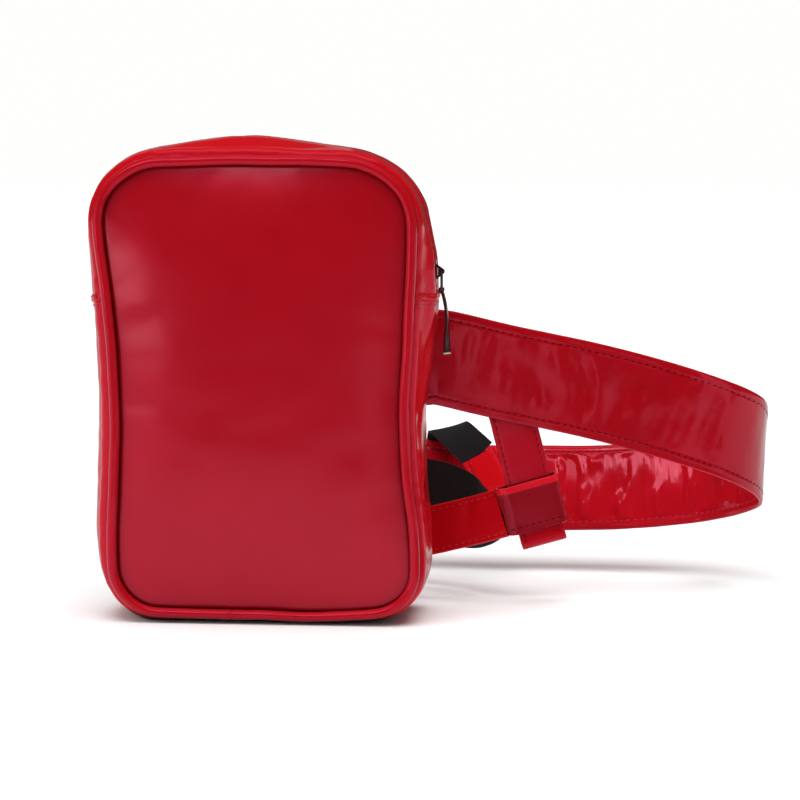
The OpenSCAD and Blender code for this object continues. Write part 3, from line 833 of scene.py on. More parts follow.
def zip_gusset(name, side, node, seed):
    start, end = SEAM_RIGHT + 1.2, SEAM_LEFT - 1.2
    s = np.linspace(start, end, int((end - start) / WALL_STEP))
    middle = bulge(s)
    q = np.linspace(0, 1, 30) ** 1.15
    v = WALL_HALF - (WALL_HALF - ZIP_SLOT) * q
    level = wall_profile(s, v) - 0.25 * hill(v, TOPSTITCH_Y, 0.7)
    depth = np.broadcast_to(v, level.shape)
    from_end = np.minimum(s - start, end - s)[:, None]
    level = level + crumple(on_wall(s[:, None], level, side * depth), s[:, None], depth, seed,
                            0.35) * smooth01(q / 0.12) * smooth01(from_end / 6)
    # the ends are tucked under the cross seam
    level = level - 0.5 * np.exp(-from_end / 1.5)
    wobble = 0.25 * noise_on(s, 0, 40, seed + 7, 2)
    depth = depth + wobble[:, None] * smooth01((q - 0.7) / 0.3)
    outer = np.stack([level, depth], -1)
    fold = np.stack([np.stack([middle + up, depth[:, -1] + across], -1)
                     for up, across in ZIP_FOLD], 1)
    section = np.concatenate([outer, fold, outer[:, ::-1][:, 4:] - LEATHER], 1)
    loft(name, on_wall(s[:, None], section[..., 0], side * section[..., 1]), SIDE_RED_PAINTED_LIT,
         "pouch", "patent_red", [node], sharp=70)
    at = np.arange(start + 4, end - 4, 4.0)
    column = int(np.argmin(np.abs(v - TOPSTITCH_Y)))
    points = on_wall(at, np.interp(at, s, level[:, column]) + 0.02, side * TOPSTITCH_Y)
    x, z = outline_at(at)[1].T
    stitches(name + "_stitch", points, np.stack([-z, 0 * at, x], 1),
             np.stack([x, 0 * at, z], 1), THREAD, "pouch", length=2.8, radius=0.22, seed=seed)


zip_gusset("zip_gusset_f", -1, "zip_gusset_front", seed=31)
zip_gusset("zip_gusset_r", 1, "zip_gusset_rear", seed=36)


def base_gusset():
    """Wall from the left cross seam down, under the pouch and up to the right one."""
    start, end = SEAM_LEFT + 0.6, SEAM_RIGHT - 0.6 + GIRTH
    s = np.linspace(start, end, int((end - start) / WALL_STEP))
    q = signed_power(np.linspace(-1, 1, 49), 0.85)
    v = WALL_HALF * q
    level = wall_profile(s, v)
    # flat where it stands
    z = outline_at(s)[0][:, 1]
    low = smooth01((BASE_Z + 16 - z) / 16)[:, None]
    level = level * (1 - low) + np.minimum(level, bulge(s)[:, None]) * low
    depth = np.broadcast_to(v, level.shape)
    creases = crumple(on_wall(s[:, None], level, depth), s[:, None], depth, 41, 0.45)
    # a deeper slanting crease below each cross seam
    from_right, from_left = (end - s)[:, None], (s - start)[:, None]
    creases = creases - 1.1 * hill(depth + 9 + 0.16 * from_right, 0, 3.2) \
        * hill(from_right, 26, 22)
    creases = creases - 0.8 * hill(depth + 12 - 0.1 * from_left, 0, 3.5) \
        * hill(from_left, 30, 26)
    inward = ((1 - np.abs(q) ** 2.6) ** 0.75) ** 0.7       # fades the creases at the cords
    level = level + creases * inward * smooth01(np.minimum(from_left, from_right) / 5) \
        * (1 - 0.85 * low)
    outer = np.stack([level, depth], -1)
    section = np.concatenate([outer, outer[:, ::-1] - LEATHER], 1)
    skin = on_wall(s[:, None], section[..., 0], section[..., 1])
    # press what would sink below the floor almost flat
    height = skin[..., 2]
    skin[..., 2] = np.where(height < 0.02, 0.02 + (height - 0.02) * 0.05, height)
    loft("base_gusset_wall", skin, SIDE_RED_PAINTED_LIT, "pouch", "patent_red", ["base_gusset"], sharp=70)


base_gusset()

# folded lip of the cross seams: (distance up from the seam, height over the wall)
SEAM_LIP = [(3.4, -0.9), (3.3, 0.25), (2.2, 0.62), (0.9, 0.85), (0.0, 0.86), (-0.55, 0.6),
            (-0.75, 0.2), (-0.6, -0.5), (1.0, -0.9)]


def cross_seam(name, side, seam):
    """The zip gusset's end is turned under and sewn over the base gusset."""
    v = np.linspace(-WALL_HALF + 0.3, WALL_HALF - 0.3, 46)
    wall = wall_profile(np.array([seam]), v)[0]
    wobble = 0.35 * np.sin(v * 0.21 + 1.0) + 0.2 * np.sin(v * 0.6 + side)
    # arc length grows upwards on the right and downwards on the left
    rows = [on_wall(seam + side * (up + wobble), wall + over * (0.9 + 0.1 * np.sin(v * 0.4)), v)
            for up, over in SEAM_LIP]
    loft(name, np.stack(rows, 1), SIDE_RED_PAINTED_LIT, "pouch", "patent_red", ["gusset_seam_tabs"],
         sharp=60)
    v = np.arange(-WALL_HALF + 3, WALL_HALF - 2.5, 3.9)
    wall = wall_profile(np.array([seam]), v)[0]
    slope = np.gradient(wall, v)
    for row, up, over in ((1, 1.9, 0.72), (2, -2.8, 0.18)):
        s = np.full(len(v), seam + side * up)
        x, z = outline_at(s)[1].T
        stitches(f"{name}_stitch{row}", on_wall(s, wall + over, v),
                 unit(np.stack([x * slope, np.ones(len(v)), z * slope], 1)),
                 unit(np.stack([x, -slope, z], 1)), PAINTED_LIT_THREAD, "pouch",
                 length=2.9, radius=0.3, seed=50 + row)


cross_seam("cross_seam_right", 1, SEAM_RIGHT)
cross_seam("cross_seam_left", -1, SEAM_LEFT)

# ------------------------------------------------------------------ zip
# tape section: (level, depth)
TAPE_SECTION = np.array([
    (-1.35, 2.7), (-1.25, 3.6), (-1.3, ZIP_SLOT + 0.5), (-1.75, ZIP_SLOT + 3.5),
    (-2.4, ZIP_SLOT + 7), (-3.0, ZIP_SLOT + 7), (-2.35, ZIP_SLOT + 3.5),
    (-1.9, ZIP_SLOT + 0.5), (-1.85, 3.6), (-1.95, 2.7)])
# one coil tooth, a bent loop of monofilament: (depth, level, along the zip, wire radius)
TOOTH = np.array([
    (2.9, -2.8, 0, 0.25), (2.6, -2.05, 0, 0.34), (1.4, -1.75, 0.05, 0.36),
    (0.1, -1.8, 0.1, 0.40), (-0.45, -2.2, 0.15, 0.42), (-0.3, -2.75, 0.2, 0.38),
    (0.6, -3.05, 0.2, 0.34), (2.2, -3.2, 0.1, 0.25)])
COIL_PITCH = 1.5


def zip_tape(name, side, node):
    start, end = SEAM_RIGHT + 2.2, SEAM_LEFT - 2.2
    s = np.linspace(start, end, int((end - start) / 1.6))[:, None]
    depth = side * TAPE_SECTION[:, 1]
    loft(name, on_wall(s, bulge(s) + TAPE_SECTION[:, 0], depth), ZIP_TAPE, "pouch", "zip_tape",
         [node], uv=map_uv(s, depth), sharp=60)


def zip_coil(name, side, node, offset):
    end_z = node_box("zip_coil_front")[0][2]
    s = np.arange(arc_at(1, end_z) + 1.5, arc_at(-1, end_z) - 1.5, COIL_PITCH) + offset
    point, normal = outline_at(s)
    path_depth, path_level, path_along, radius = TOOTH.T[:, :, None]
    depth_step = np.gradient(TOOTH[:, 0])[:, None]
    level_step = np.gradient(TOOTH[:, 1])[:, None]
    step = np.hypot(depth_step, level_step)
    angle = circle_angles(6)
    depth = path_depth + radius * np.cos(angle) * (-level_step / step)
    level = path_level + radius * np.cos(angle) * (depth_step / step)
    along = path_along + radius * np.sin(angle)
    level = bulge(s)[:, None, None] + level
    normal_x, normal_z = (normal[:, i][:, None, None] for i in (0, 1))
    x = point[:, 0][:, None, None] + level * normal_x - along * normal_z
    z = point[:, 1][:, None, None] + level * normal_z + along * normal_x
    wire = np.stack(np.broadcast_arrays(x, side * depth, z), -1)
    count, rows, columns = wire.shape[:3]
    faces = repeat_faces(capped_faces(rows, columns), count, rows * columns)
    make(name, wire.reshape(-1, 3), faces, ZIP_COIL, "pouch", "zip_coil", [node], sharp=0)


zip_tape("zip_tape_f", -1, "zip_tape_front")
zip_tape("zip_tape_r", 1, "zip_tape_rear")
zip_coil("zip_coil_f", -1, "zip_coil_front", offset=0.0)
zip_coil("zip_coil_r", 1, "zip_coil_rear", offset=COIL_PITCH / 2)

# (place along the clip's half length, fullness)
STOP_STATIONS = [(-1.0, 0.55), (-0.92, 0.85), (-0.55, 1.0), (-0.18, 0.9), (0.18, 0.9),
                 (0.55, 1.0), (0.92, 0.85), (1.0, 0.55)]


def zip_stop(name, side, y0, y1):
    """Crimped metal clip across the coil."""
    low, high = node_box("zip_stops")
    centre = arc_at(side, (low[2] + high[2]) / 2)
    half_length = (high[2] - low[2]) / 2
    angle = circle_angles(16)
    rows = []
    for place, full in STOP_STATIONS:
        y = (y0 + y1) / 2 + (y1 - y0) / 2 * signed_power(np.cos(angle), 0.5) \
            * (0.9 + 0.1 * full)
        level = bulge(centre) - 1.75 + 1.15 * full * signed_power(np.sin(angle), 0.6)
        rows.append(on_wall(centre + place * half_length, level, y))
    loft(name, np.stack(rows, 0), GUNMETAL, "pouch", "gunmetal", ["zip_stops"])


zip_stop("zip_stop_bottom", 1, -2.7, 2.7)
zip_stop("zip_stop_top_f", -1, -2.7, -0.6)
zip_stop("zip_stop_top_r", -1, 0.6, 2.7)
for part in ("zip_slider", "zip_ring"):
    piece = frame["nodes"][part]
    piece.data.materials.clear()
    piece.data.materials.append(GUNMETAL)

# ------------------------------------------------------------------ zip pull
RING_X, _, RING_Z = joint_at("pull_swing")
PULL_LENGTH = RING_Z - node_box("pull_tab")[0][2]
# strip section: (share of half width, share of half thickness)
PULL_SECTION = [(-1, -0.5), (-0.97, 0.5), (-0.85, 0.95), (-0.4, 1.0), (0, 0.93), (0.4, 1.0),
                (0.85, 0.95), (0.97, 0.5), (1, -0.5), (0.85, -0.95), (0.3, -1), (-0.3, -1),
                (-0.85, -0.95)]
# sleeve round the ring's wire: (y, radius)
PULL_FOLD = [(-1.9, 0.75), (-2.0, 1.2), (-1.8, 1.5), (-0.9, 1.56), (0.9, 1.56), (1.8, 1.5),
             (2.0, 1.2), (1.9, 0.75), (0, 0.62)]


def pull_strip():
    """Slim strip that hangs from the ring and curls at its pale cut end."""
    t = np.linspace(0, 1, 44)
    x = RING_X + 2.7 * np.sin(math.radians(165) * t ** 0.85) + 2.4 * t ** 4
    z = RING_Z - 0.6 - (PULL_LENGTH - 0.6) * t
    centre = np.stack([x, 0.6 * np.sin(t * 4.0), z], 1)
    along = unit(np.gradient(centre, axis=0))
    # it turns to show its face near the end
    twist = np.radians(6 + 30 * smooth01((t - 0.35) / 0.65))[:, None]
    flat = np.array([0, 1.0, 0])
    flat = unit(flat - (along @ flat)[:, None] * along)
    width = flat * np.cos(twist) + np.cross(along, flat) * np.sin(twist)
    normal = np.cross(along, width)
    half_width = (1.7 + 1.0 * smooth01((t - 0.05) / 0.8))[:, None]
    half_thickness = (0.72 - 0.05 * t)[:, None]
    skin = np.stack([centre + width * half_width * a + normal * half_thickness * b
                     for a, b in PULL_SECTION], 1)
    strip = loft("pull_strip", skin, [PULL_LEATHER, CUT_EDGE], "pull", "pull_leather",
                 ["pull_tab"])
    cut_height = (RING_Z - PULL_LENGTH + 0.9) / 1000
    for polygon in strip.data.polygons:
        if polygon.center.z < cut_height:
            polygon.material_index = 1


def pull_fold():
    angle = circle_angles(26)
    rows = [np.stack([RING_X + radius * np.cos(angle), y + 0 * angle,
                      RING_Z + radius * np.sin(angle)], 1) for y, radius in PULL_FOLD]
    loft("pull_fold", np.stack(rows, 1), PULL_LEATHER, "pull", "pull_leather", ["pull_tab"],
         closed=True)


pull_strip()
pull_fold()


# ------------------------------------------------------------------ inside of the pouch
def foam(name, y0, y1, node):
    """Soft-edged slab in the shape of the outline."""
    border = (OUTLINE - OUTWARD * 9.0)
    centre = border.mean(0)
    border = border[np.arange(0, COUNT, 6)]
    # (scale, y) from the front middle over the edge to the rear middle
    rings = [(0.02, y0), (0.5, y0), (0.9, y0), (0.985, y0 + 0.15), (1.0, y0 + 0.7),
             (1.0, y1 - 0.7), (0.985, y1 - 0.15), (0.9, y1), (0.5, y1), (0.02, y1)]
    rows = []
    for scale, y in rings:
        q = centre + (border - centre) * scale
        rows.append(np.stack([q[:, 0], np.full(len(q), y), q[:, 1]], 1))
    skin = np.stack(rows, 0)
    loft(name, skin, FOAM, "pouch", "foam", [node], uv=skin[..., [0, 2]] / 1000)


front_foam, rear_foam = node_box("front_foam"), node_box("rear_foam")
foam("foam_front", front_foam[0][1] + 1.5, front_foam[1][1], "front_foam")
foam("foam_rear", rear_foam[0][1], rear_foam[1][1] - 0.8, "rear_foam")

CLOTH = 0.6          # thickness of the lining


def lining_halves():
    """Front and rear shells that stop short of the zip slot."""
    border = OUTLINE - OUTWARD * 3.6
    centre = border.mean(0)
    picked = np.arange(0, COUNT, 5)
    border, outward = border[picked], OUTWARD[picked]
    y0 = node_box("lining")[0][1] + 0.2
    # (scale, y, inset): out along the outer face, back along the inner one
    rings = [(0.02, y0, 0), (0.6, y0, 0), (0.96, y0 + 0.3, 0), (0.995, y0 + 1.5, 0),
             (1.0, y0 + 4, 0), (1.0, -8.0, 0),
             (1.0, -8.0, CLOTH), (1.0, y0 + 4, CLOTH), (0.995, y0 + 1.9, CLOTH),
             (0.96, y0 + 0.9, CLOTH), (0.6, y0 + CLOTH, CLOTH), (0.02, y0 + CLOTH, CLOTH)]
    rows = []
    for scale, y, inset in rings:
        q = centre + (border - outward * inset - centre) * scale
        y = np.full(len(q), y)
        creases = 0.35 * noise(np.stack([q[:, 0], y, q[:, 1]], 1), 18, 61, 2)
        q = q - outward * np.abs(creases)[:, None]
        rows.append(np.stack([q[:, 0], y, q[:, 1]], 1))
    skin = np.stack(rows, 0)
    uv = map_uv(skin[..., 0] + skin[..., 1], skin[..., 2])
    for name, mirror in (("lining_front_half", 1), ("lining_rear_half", -1)):
        loft(name, skin * np.array([1, mirror, 1]), LINING, "pouch", "bag_lining", ["lining"],
             uv=uv)


def lining_strip():
    """Strip that joins the lining halves below the zip."""
    s = np.linspace(SEAM_LEFT + 6, SEAM_RIGHT - 6 + GIRTH, 240)[:, None]
    depth = np.array([-8.6, -4, 0, 4, 8.6, 8.6, 4, 0, -4, -8.6])
    level = np.array([-4.4, -4.1, -4.0, -4.1, -4.4, -5.0, -4.7, -4.6, -4.7, -5.0])
    loft("lining_base_strip", on_wall(s, level, depth), LINING, "pouch", "bag_lining",
         ["lining"], uv=map_uv(s, depth))


def base_board():
    low, high = node_box("base_board")
    angle = circle_angles(64)
    x = (high[0] - low[0]) / 2 * signed_power(np.cos(angle), 0.25)
    y = (high[1] - low[1]) / 2 * signed_power(np.sin(angle), 0.25)
    z0, z1 = low[2] + 0.6, high[2]
    rings = [(0.02, z0), (0.97, z0), (1.0, low[2] + 0.9), (1.0, z1 - 0.3), (0.97, z1),
             (0.02, z1)]
    rows = [np.stack([x * scale, y * scale, np.full(64, z)], 1) for scale, z in rings]
    loft("base_stiffener", np.stack(rows, 0), BOARD, "pouch", "board", ["base_board"],
         sharp=40)


lining_halves()
lining_strip()
base_board()


# ------------------------------------------------------------------ bands
def catmull_rom(a, b, c, d, t):
    return 0.5 * (2 * b + (c - a) * t + (2 * a - 5 * b + 4 * c - d) * t * t
                  + (3 * b - a - 3 * c + d) * t ** 3)


class Path:
    """Smooth band through stations (x, y, z, lean x, lean y, width), evenly resampled.

    The width direction leans from +Z by (lean x, lean y).
    """

    def __init__(self, stations, step, lead_in=0.0):
        p = np.asarray(stations, float)
        curve = []
        for i in range(len(p) - 1):
            knots = p[max(i - 1, 0)], p[i], p[i + 1], p[min(i + 2, len(p) - 1)]
            curve += [catmull_rom(*knots, k / 40) for k in range(40)]
        curve = np.array(curve + [p[-1]])
        if lead_in:
            first = curve[0, :3] - unit(curve[3, :3] - curve[0, :3]) * lead_in
            curve = np.vstack([np.r_[first, curve[0, 3:]], curve])
        s = arc_length(curve[:, :3])
        self.length = s[-1]
        self.s = np.linspace(0, s[-1], max(4, int(round(s[-1] / step))) + 1)
        even = resample(self.s, s, curve)
        self.centre = even[:, :3]
        along = unit(np.gradient(self.centre, axis=0))
        self.along = unit(np.stack([smooth_run(along[:, i], 4, 2.0, "edge")
                                    for i in range(3)], 1))
        lean = np.stack([even[:, 3], even[:, 4], np.ones(len(even))], 1)
        self.across = unit(lean - (lean * self.along).sum(1, keepdims=True) * self.along)
        self.normal = np.cross(self.along, self.across)
        self.half = even[:, 5] / 2

    def at(self, s, w, n):
        """Points w across and n along the normal, with the three directions there."""
        s, w, n = np.broadcast_arrays(s, w, n)
        centre, along, normal, across = (
            resample(s, self.s, values)
            for values in (self.centre, self.along, self.normal, self.across))
        return centre + w[..., None] * across + n[..., None] * normal, along, normal, across

    def skin(self, w, n):
        """Points from arrays w and n [station, section point]."""
        return (self.centre[:, None] + w[..., None] * self.across[:, None]
                + n[..., None] * self.normal[:, None])


# A section column is (side, inset from that edge, share of half width if side is 0, height).
def edge_columns(side, pairs):
    return [(side, inset, 0, height) for inset, height in pairs]


def middle_columns(shares, height):
    return [(0, 0, share, height) for share in shares]


def column_offset(column, half):
    side, inset, share, _ = column
    return side * (half - inset) if side else share * half


def strap_section(rim, crown, half_thickness):
    """Two-faced strap: rim is (inset, height share) from the edge in, crown the middle's."""
    face = [(inset, share * half_thickness) for inset, share in rim]
    under = [(inset, -height) for inset, height in face[1:]]
    middle = crown * half_thickness
    return (edge_columns(1, face) + middle_columns([0], middle) + edge_columns(-1, face[::-1])
            + edge_columns(-1, under) + middle_columns([0], -middle)
            + edge_columns(1, under[::-1]))


def band(name, path, section, displace, material, body, slot, replaces, sharp=50):
    w = np.stack([column_offset(column, path.half) for column in section], 1)
    n = np.tile([float(column[3]) for column in section], (len(path.s), 1))
    n = n + displace(path.s[:, None], w, n)
    loft(name, path.skin(w, n), material, body, slot, replaces,
         uv=map_uv(path.s[:, None], w), sharp=sharp)


def dent(s, w, s0, w0, half_length, half_width, tilt):
    return np.exp(-(((s - s0) + tilt * (w - w0)) / half_length) ** 2
                  - ((w - w0) / half_width) ** 2)


# ------------------------------------------------------------------ belt
ROOT_Z = joint_at("belt_swing")[2]
anchor_low, anchor_high = node_box("belt_anchor")
BELT_WIDTH = anchor_high[2] - anchor_low[2]
BELT_HALF = BELT_WIDTH / 2
BELT_DROP = 88.0
STITCH_INSET = 4.9
STITCH_PITCH = 4.0
# the loop: x in reaches, y in depths, z down in drops, lean x, lean y
BELT_LOOP = [
    (0.23, 0.08, 0.09, 0.18, 0.01), (0.50, 0.14, 0.22, 0.21, 0.04),
    (0.75, 0.23, 0.38, 0.21, 0.08), (0.94, 0.40, 0.56, 0.14, 0.18),
    (0.98, 0.66, 0.74, 0.03, 0.29), (0.83, 0.91, 0.90, -0.01, 0.37),
    (0.58, 0.98, 0.98, -0.01, 0.42), (0.31, 1.00, 1.00, -0.02, 0.44),
    (0.05, 1.01, 0.99, -0.03, 0.43), (-0.22, 0.99, 0.90, -0.10, 0.38),
    (-0.47, 0.92, 0.73, -0.16, 0.28), (-0.68, 0.74, 0.44, -0.20, 0.12),
    (-0.78, 0.46, 0.18, -0.14, 0.02)]
# its two ends: x from the pouch's side, y from the rear cord, z from the root, leans
BELT_START = [(3.2, 4.8, 0, 0, 0), (13, 5.6, -0.4, 0.04, 0)]
BELT_END = [(-139, 28, -3, -0.06, 0), (-121, 13.5, 0, 0, 0), (-95, 9, 0, 0, 0),
            (-65, 9, 0, 0, 0)]


def belt_stations(reach, depth):
    scaled_loop = [(x * reach, y * depth, -z * BELT_DROP, *lean) for x, y, z, *lean in BELT_LOOP]
    return [(HALF_WIDTH + x, REAR_Y + y, ROOT_Z + z, *lean, BELT_WIDTH)
            for x, y, z, *lean in BELT_START + scaled_loop + BELT_END]


def fit_belt():
    """Scale the loop until its edges reach as far as the frame's own belt."""
    reach, depth = 188.0, 129.0
    core_high = node_box("belt_core")[1]
    for _ in range(3):
        trial = Path(belt_stations(reach, depth), 3.0)
        edges = trial.skin(np.stack([trial.half, -trial.half], 1),
                           np.zeros((len(trial.s), 2))).reshape(-1, 3)
        reach *= (core_high[0] - HALF_WIDTH) / (edges[:, 0].max() - HALF_WIDTH)
        depth *= (core_high[1] - REAR_Y) / (edges[:, 1].max() - REAR_Y)
    return reach, depth


belt_reach, belt_depth = fit_belt()
BELT = Path(belt_stations(belt_reach, belt_depth), 1.6, lead_in=3.2)
near_count = int(len(BELT.s) * 0.35)
NEAR_S = np.interp(190, BELT.centre[:near_count, 0], BELT.s[:near_count])   # at x = 190
far_run = np.where(BELT.centre[:, 1] > REAR_Y + 0.9 * belt_depth)[0]
FAR_START, FAR_END = BELT.s[far_run[0]], BELT.s[far_run[-1]]

# outer dents: depth, place in NEAR_S, shift along, across, half length, half width, tilt
BELT_DENTS = [(-1.15, 0.80, 0, 4, 5, 14, 0.35), (0.55, 0.80, 10, 2, 5, 12, 0.3),
              (-0.8, 0.62, 0, -3, 6, 11, 0.4), (0.4, 0.70, 0, 6, 5, 9, 0.4),
              (-0.6, 1.0, 0, -4, 7, 12, -0.2), (0.3, 1.0, 12, -6, 6, 9, -0.2),
              (-0.5, 0.45, 0, 6, 9, 8, 0.3)]


def belt_wave(s, w):
    """Bends that both facings share."""
    return 0.55 * noise_on(s, 0.35 * w, 62, 71, 2)


def stitch_pull(s, w, depth):
    """Each stitch draws the leather in a little."""
    return depth * np.sin(2 * math.pi * (s - 5.0) / STITCH_PITCH) \
        * hill(np.abs(w), BELT_HALF - STITCH_INSET, 1.3)


def outer_relief(s, w, n):
    face = n > 0.9
    inside = smooth01((BELT_HALF - 5.5 - np.abs(w)) / 5)
    relief = 0.20 * noise_on(s, 0.45 * w, 17, 73, 3) * inside
    for depth, place, shift, *shape in BELT_DENTS:
        relief = relief + depth * dent(s, w, NEAR_S * place + shift, *shape)
    return belt_wave(s, w) + (relief * inside + stitch_pull(s, w, 0.15)) * face


def inner_relief(s, w, n):
    face = n < -0.9
    inside = smooth01((BELT_HALF - 4.6 - np.abs(w)) / 4)
    strength = 0.35 + 0.9 * smooth01((s - FAR_START + 60) / 50) \
        * smooth01((FAR_END + 20 - s) / 50)
    relief = noise_on(s, 0.12 * w, 15, 81, 3) * 0.70 + 0.45 * noise_on(s, 0.25 * w, 31, 85, 2)
    # ridges across the band, where its inner face is squeezed round the turn
    wide = np.sin(2 * math.pi * (s + 2.5 * np.sin(w * 0.13)) / 19 + 1.7 * np.sin(s * 0.031))
    relief = relief + 0.85 * np.maximum(0, wide) ** 3 \
        * smooth01((noise_on(s, w, 55, 88, 1) + 0.5) / 0.7)
    fine = np.sin(2 * math.pi * (s + 1.6 * np.sin(w * 0.2 + 1)) / 11.3
                  + 2.1 * np.sin(s * 0.047))
    relief = relief + 0.5 * np.maximum(0, fine) ** 4 \
        * smooth01((noise_on(s, w, 40, 89, 1) + 0.2) / 0.6)
    return belt_wave(s, w) - (relief * strength * inside * 1.15
                              + stitch_pull(s, w, 0.17)) * face


def belt_face_columns(height, groove, outward=1, edge=1.6, fall=0.0):
    """One wide face from the +W edge to the -W edge, with a stitch groove near both."""
    insets = (edge, 2.6, 3.6, *(STITCH_INSET + d for d in (-0.7, -0.3, 0, 0.3, 0.7, 1.4, 2.6)))
    rim = [(inset, outward * (height - groove * hill(inset, STITCH_INSET, 0.55)
                              + 0.10 * hill(inset, 2.8, 1.3)
                              - fall * max(0, STITCH_INSET - inset))) for inset in insets]
    middle = [(0, 0, share, outward * (height + 0.10 * (1 - share * share)))
              for share in (0.62, 0.5, 0.38, 0.25, 0.12, 0, -0.12, -0.25, -0.38, -0.5, -0.62)]
    return edge_columns(1, rim) + middle + edge_columns(-1, rim[::-1])


def belt():
    wrap = [(3.2, -0.95), (1.6, -1.28), (0.7, -1.22), (0.15, -0.8), (0, 0), (0.12, 0.75),
            (0.6, 1.05)]
    inside = [(3.2, -0.6), (1.2, -0.5), (0.9, 0.2), (1.6, 0.6)]
    shares = (-0.6, -0.2, 0.2, 0.6)
    outer = (edge_columns(1, wrap) + belt_face_columns(1.4, 0.14, fall=0.07)
             + edge_columns(-1, wrap[::-1]) + edge_columns(-1, inside)
             + middle_columns(shares, 0.62) + edge_columns(1, inside[::-1]))
    band("belt_face", BELT, outer, outer_relief, BELT_RED, "belt", "patent_red",
         ["belt_outer"])
    lip = [(1.3, -1.02), (1.25, -1.3)]
    inner = (edge_columns(1, lip) + belt_face_columns(1.42, 0.16, outward=-1, edge=1.7)
             + edge_columns(-1, lip[::-1] + [(3.6, -0.75)])
             + middle_columns(shares, -0.62) + edge_columns(1, [(3.6, -0.75)]))
    band("belt_lining_face", BELT, inner, inner_relief, INNER_RED_PAINTED_LIT, "belt", "patent_red_inner",
         ["belt_lining"])
    core = (edge_columns(1, [(4.2, 0.28)]) + middle_columns((0.4, 0, -0.4), 0.28)
            + edge_columns(-1, [(4.2, 0.28), (4.0, 0), (4.2, -0.28)])
            + middle_columns((-0.4, 0, 0.4), -0.28)
            + edge_columns(1, [(4.2, -0.28), (4.0, 0)]))
    band("belt_stiffener", BELT, core, lambda s, w, n: belt_wave(s, w), STIFFENER, "belt",
         "webbing", ["belt_core"])


def belt_stitching():
    s = np.arange(5.0, BELT.length - 3, STITCH_PITCH)
    for k, edge in enumerate((1, -1)):
        w = edge * (BELT_HALF - STITCH_INSET)
        for name, height, face, thread in (("belt_stitch_out", 1.32, 1, THREAD),
                                           ("belt_stitch_in", -1.36, -1, PAINTED_LIT_THREAD)):
            points, along, normal, across = BELT.at(s, w, height + belt_wave(s, w))
            stitches(f"{name}{k + 1}", points, unit(along + 0.16 * across * face),
                     unit(normal) * face, thread, "belt", length=2.5, radius=0.27,
                     seed=90 + k)


belt()
belt_stitching()


def belt_anchor():
    """The length of belt sewn across the pouch's back."""
    start_x = anchor_low[0]
    thickness = 2.6
    panel_y = REAR_Y + 1.2 + 0.35
    x = np.linspace(start_x, HALF_WIDTH - 0.8, 150)
    # it climbs over the rear cord on the right
    inner_y = panel_y + (REAR_Y + CORD_RADIUS + 0.4 - panel_y) \
        * smooth01((x - (HALF_WIDTH - 13)) / 7)
    inner_y = inner_y + 0.12 * noise_on(x, 0, 30, 95, 2)
    edge = [(0.0, 0.5), (0.15, 0.85), (0.7, 1.0)]
    rim = [(inset, 1.0 - 0.13 * hill(inset, 4.9, 0.5) + 0.06 * hill(inset, 2.9, 1.4))
           for inset in (1.6, 2.8, 3.8, 4.4, 4.7, 5.0, 5.3, 5.7, 6.6, 8.5)]
    middle = [(0, 0, share, 1.0 + 0.03 * (1 - share * share))
              for share in (0.5, 0.3, 0.1, -0.1, -0.3, -0.5)]
    section = (edge_columns(1, edge + rim) + middle
               + edge_columns(-1, rim[::-1] + edge[::-1] + [(0.15, 0.12)])
               + middle_columns((-0.5, 0, 0.5), 0.0)
               + edge_columns(1, [(0.8, 0.0), (0.15, 0.12)]))
    rows = []
    for column in section:
        z, height = column_offset(column, BELT_HALF), column[3]
        y = inner_y + thickness * height + 0.25 * noise_on(x, z, 24, 96, 2) * (height > 0.9)
        rows.append(np.stack([x, y, np.full(len(x), ROOT_Z + z)], 1))
    skin = np.stack(rows, 1)
    loft("belt_anchor_strap", skin, BELT_RED, "pouch", "patent_red", ["belt_anchor"],
         uv=skin[..., [0, 2]] / 1000)

    # edge rows and a crossed box near each end
    points, along = [], []

    def sew(row_x, row_z, direction, over=0.0):
        row_x, row_z = np.broadcast_arrays(row_x, row_z)
        y = np.interp(row_x, x, inner_y) + thickness - 0.02 + over
        points.append(np.stack([row_x, y, ROOT_Z + row_z], 1))
        along.append(np.broadcast_to(direction, (len(row_x), 3)))

    for side in (1, -1):
        sew(np.arange(start_x + 5, HALF_WIDTH - 3, 4.0), side * (BELT_HALF - STITCH_INSET),
            [1.0, 0, 0])
    for x0, x1 in ((start_x + 5, start_x + 33), (HALF_WIDTH - 46, HALF_WIDTH - 16)):
        for box_x in (x0, x1):
            sew(box_x, np.arange(-BELT_HALF + 6.5, BELT_HALF - 5, 3.9), [0, 0, 1.0])
        for side in (1, -1):
            run, rise = x1 - x0 - 3, side * (BELT_WIDTH - 14)
            diagonal = np.array([run, 0, rise])
            length = np.linalg.norm(diagonal)
            t = np.arange(2, length - 1, 3.9) / length
            sew(x0 + 1.5 + run * t, rise * (t - 0.5), diagonal / length, over=0.02)
    stitches("belt_anchor_stitch", np.vstack(points), np.vstack(along), [0, 1.0, 0], THREAD,
             "pouch", length=2.9, radius=0.32, seed=97)


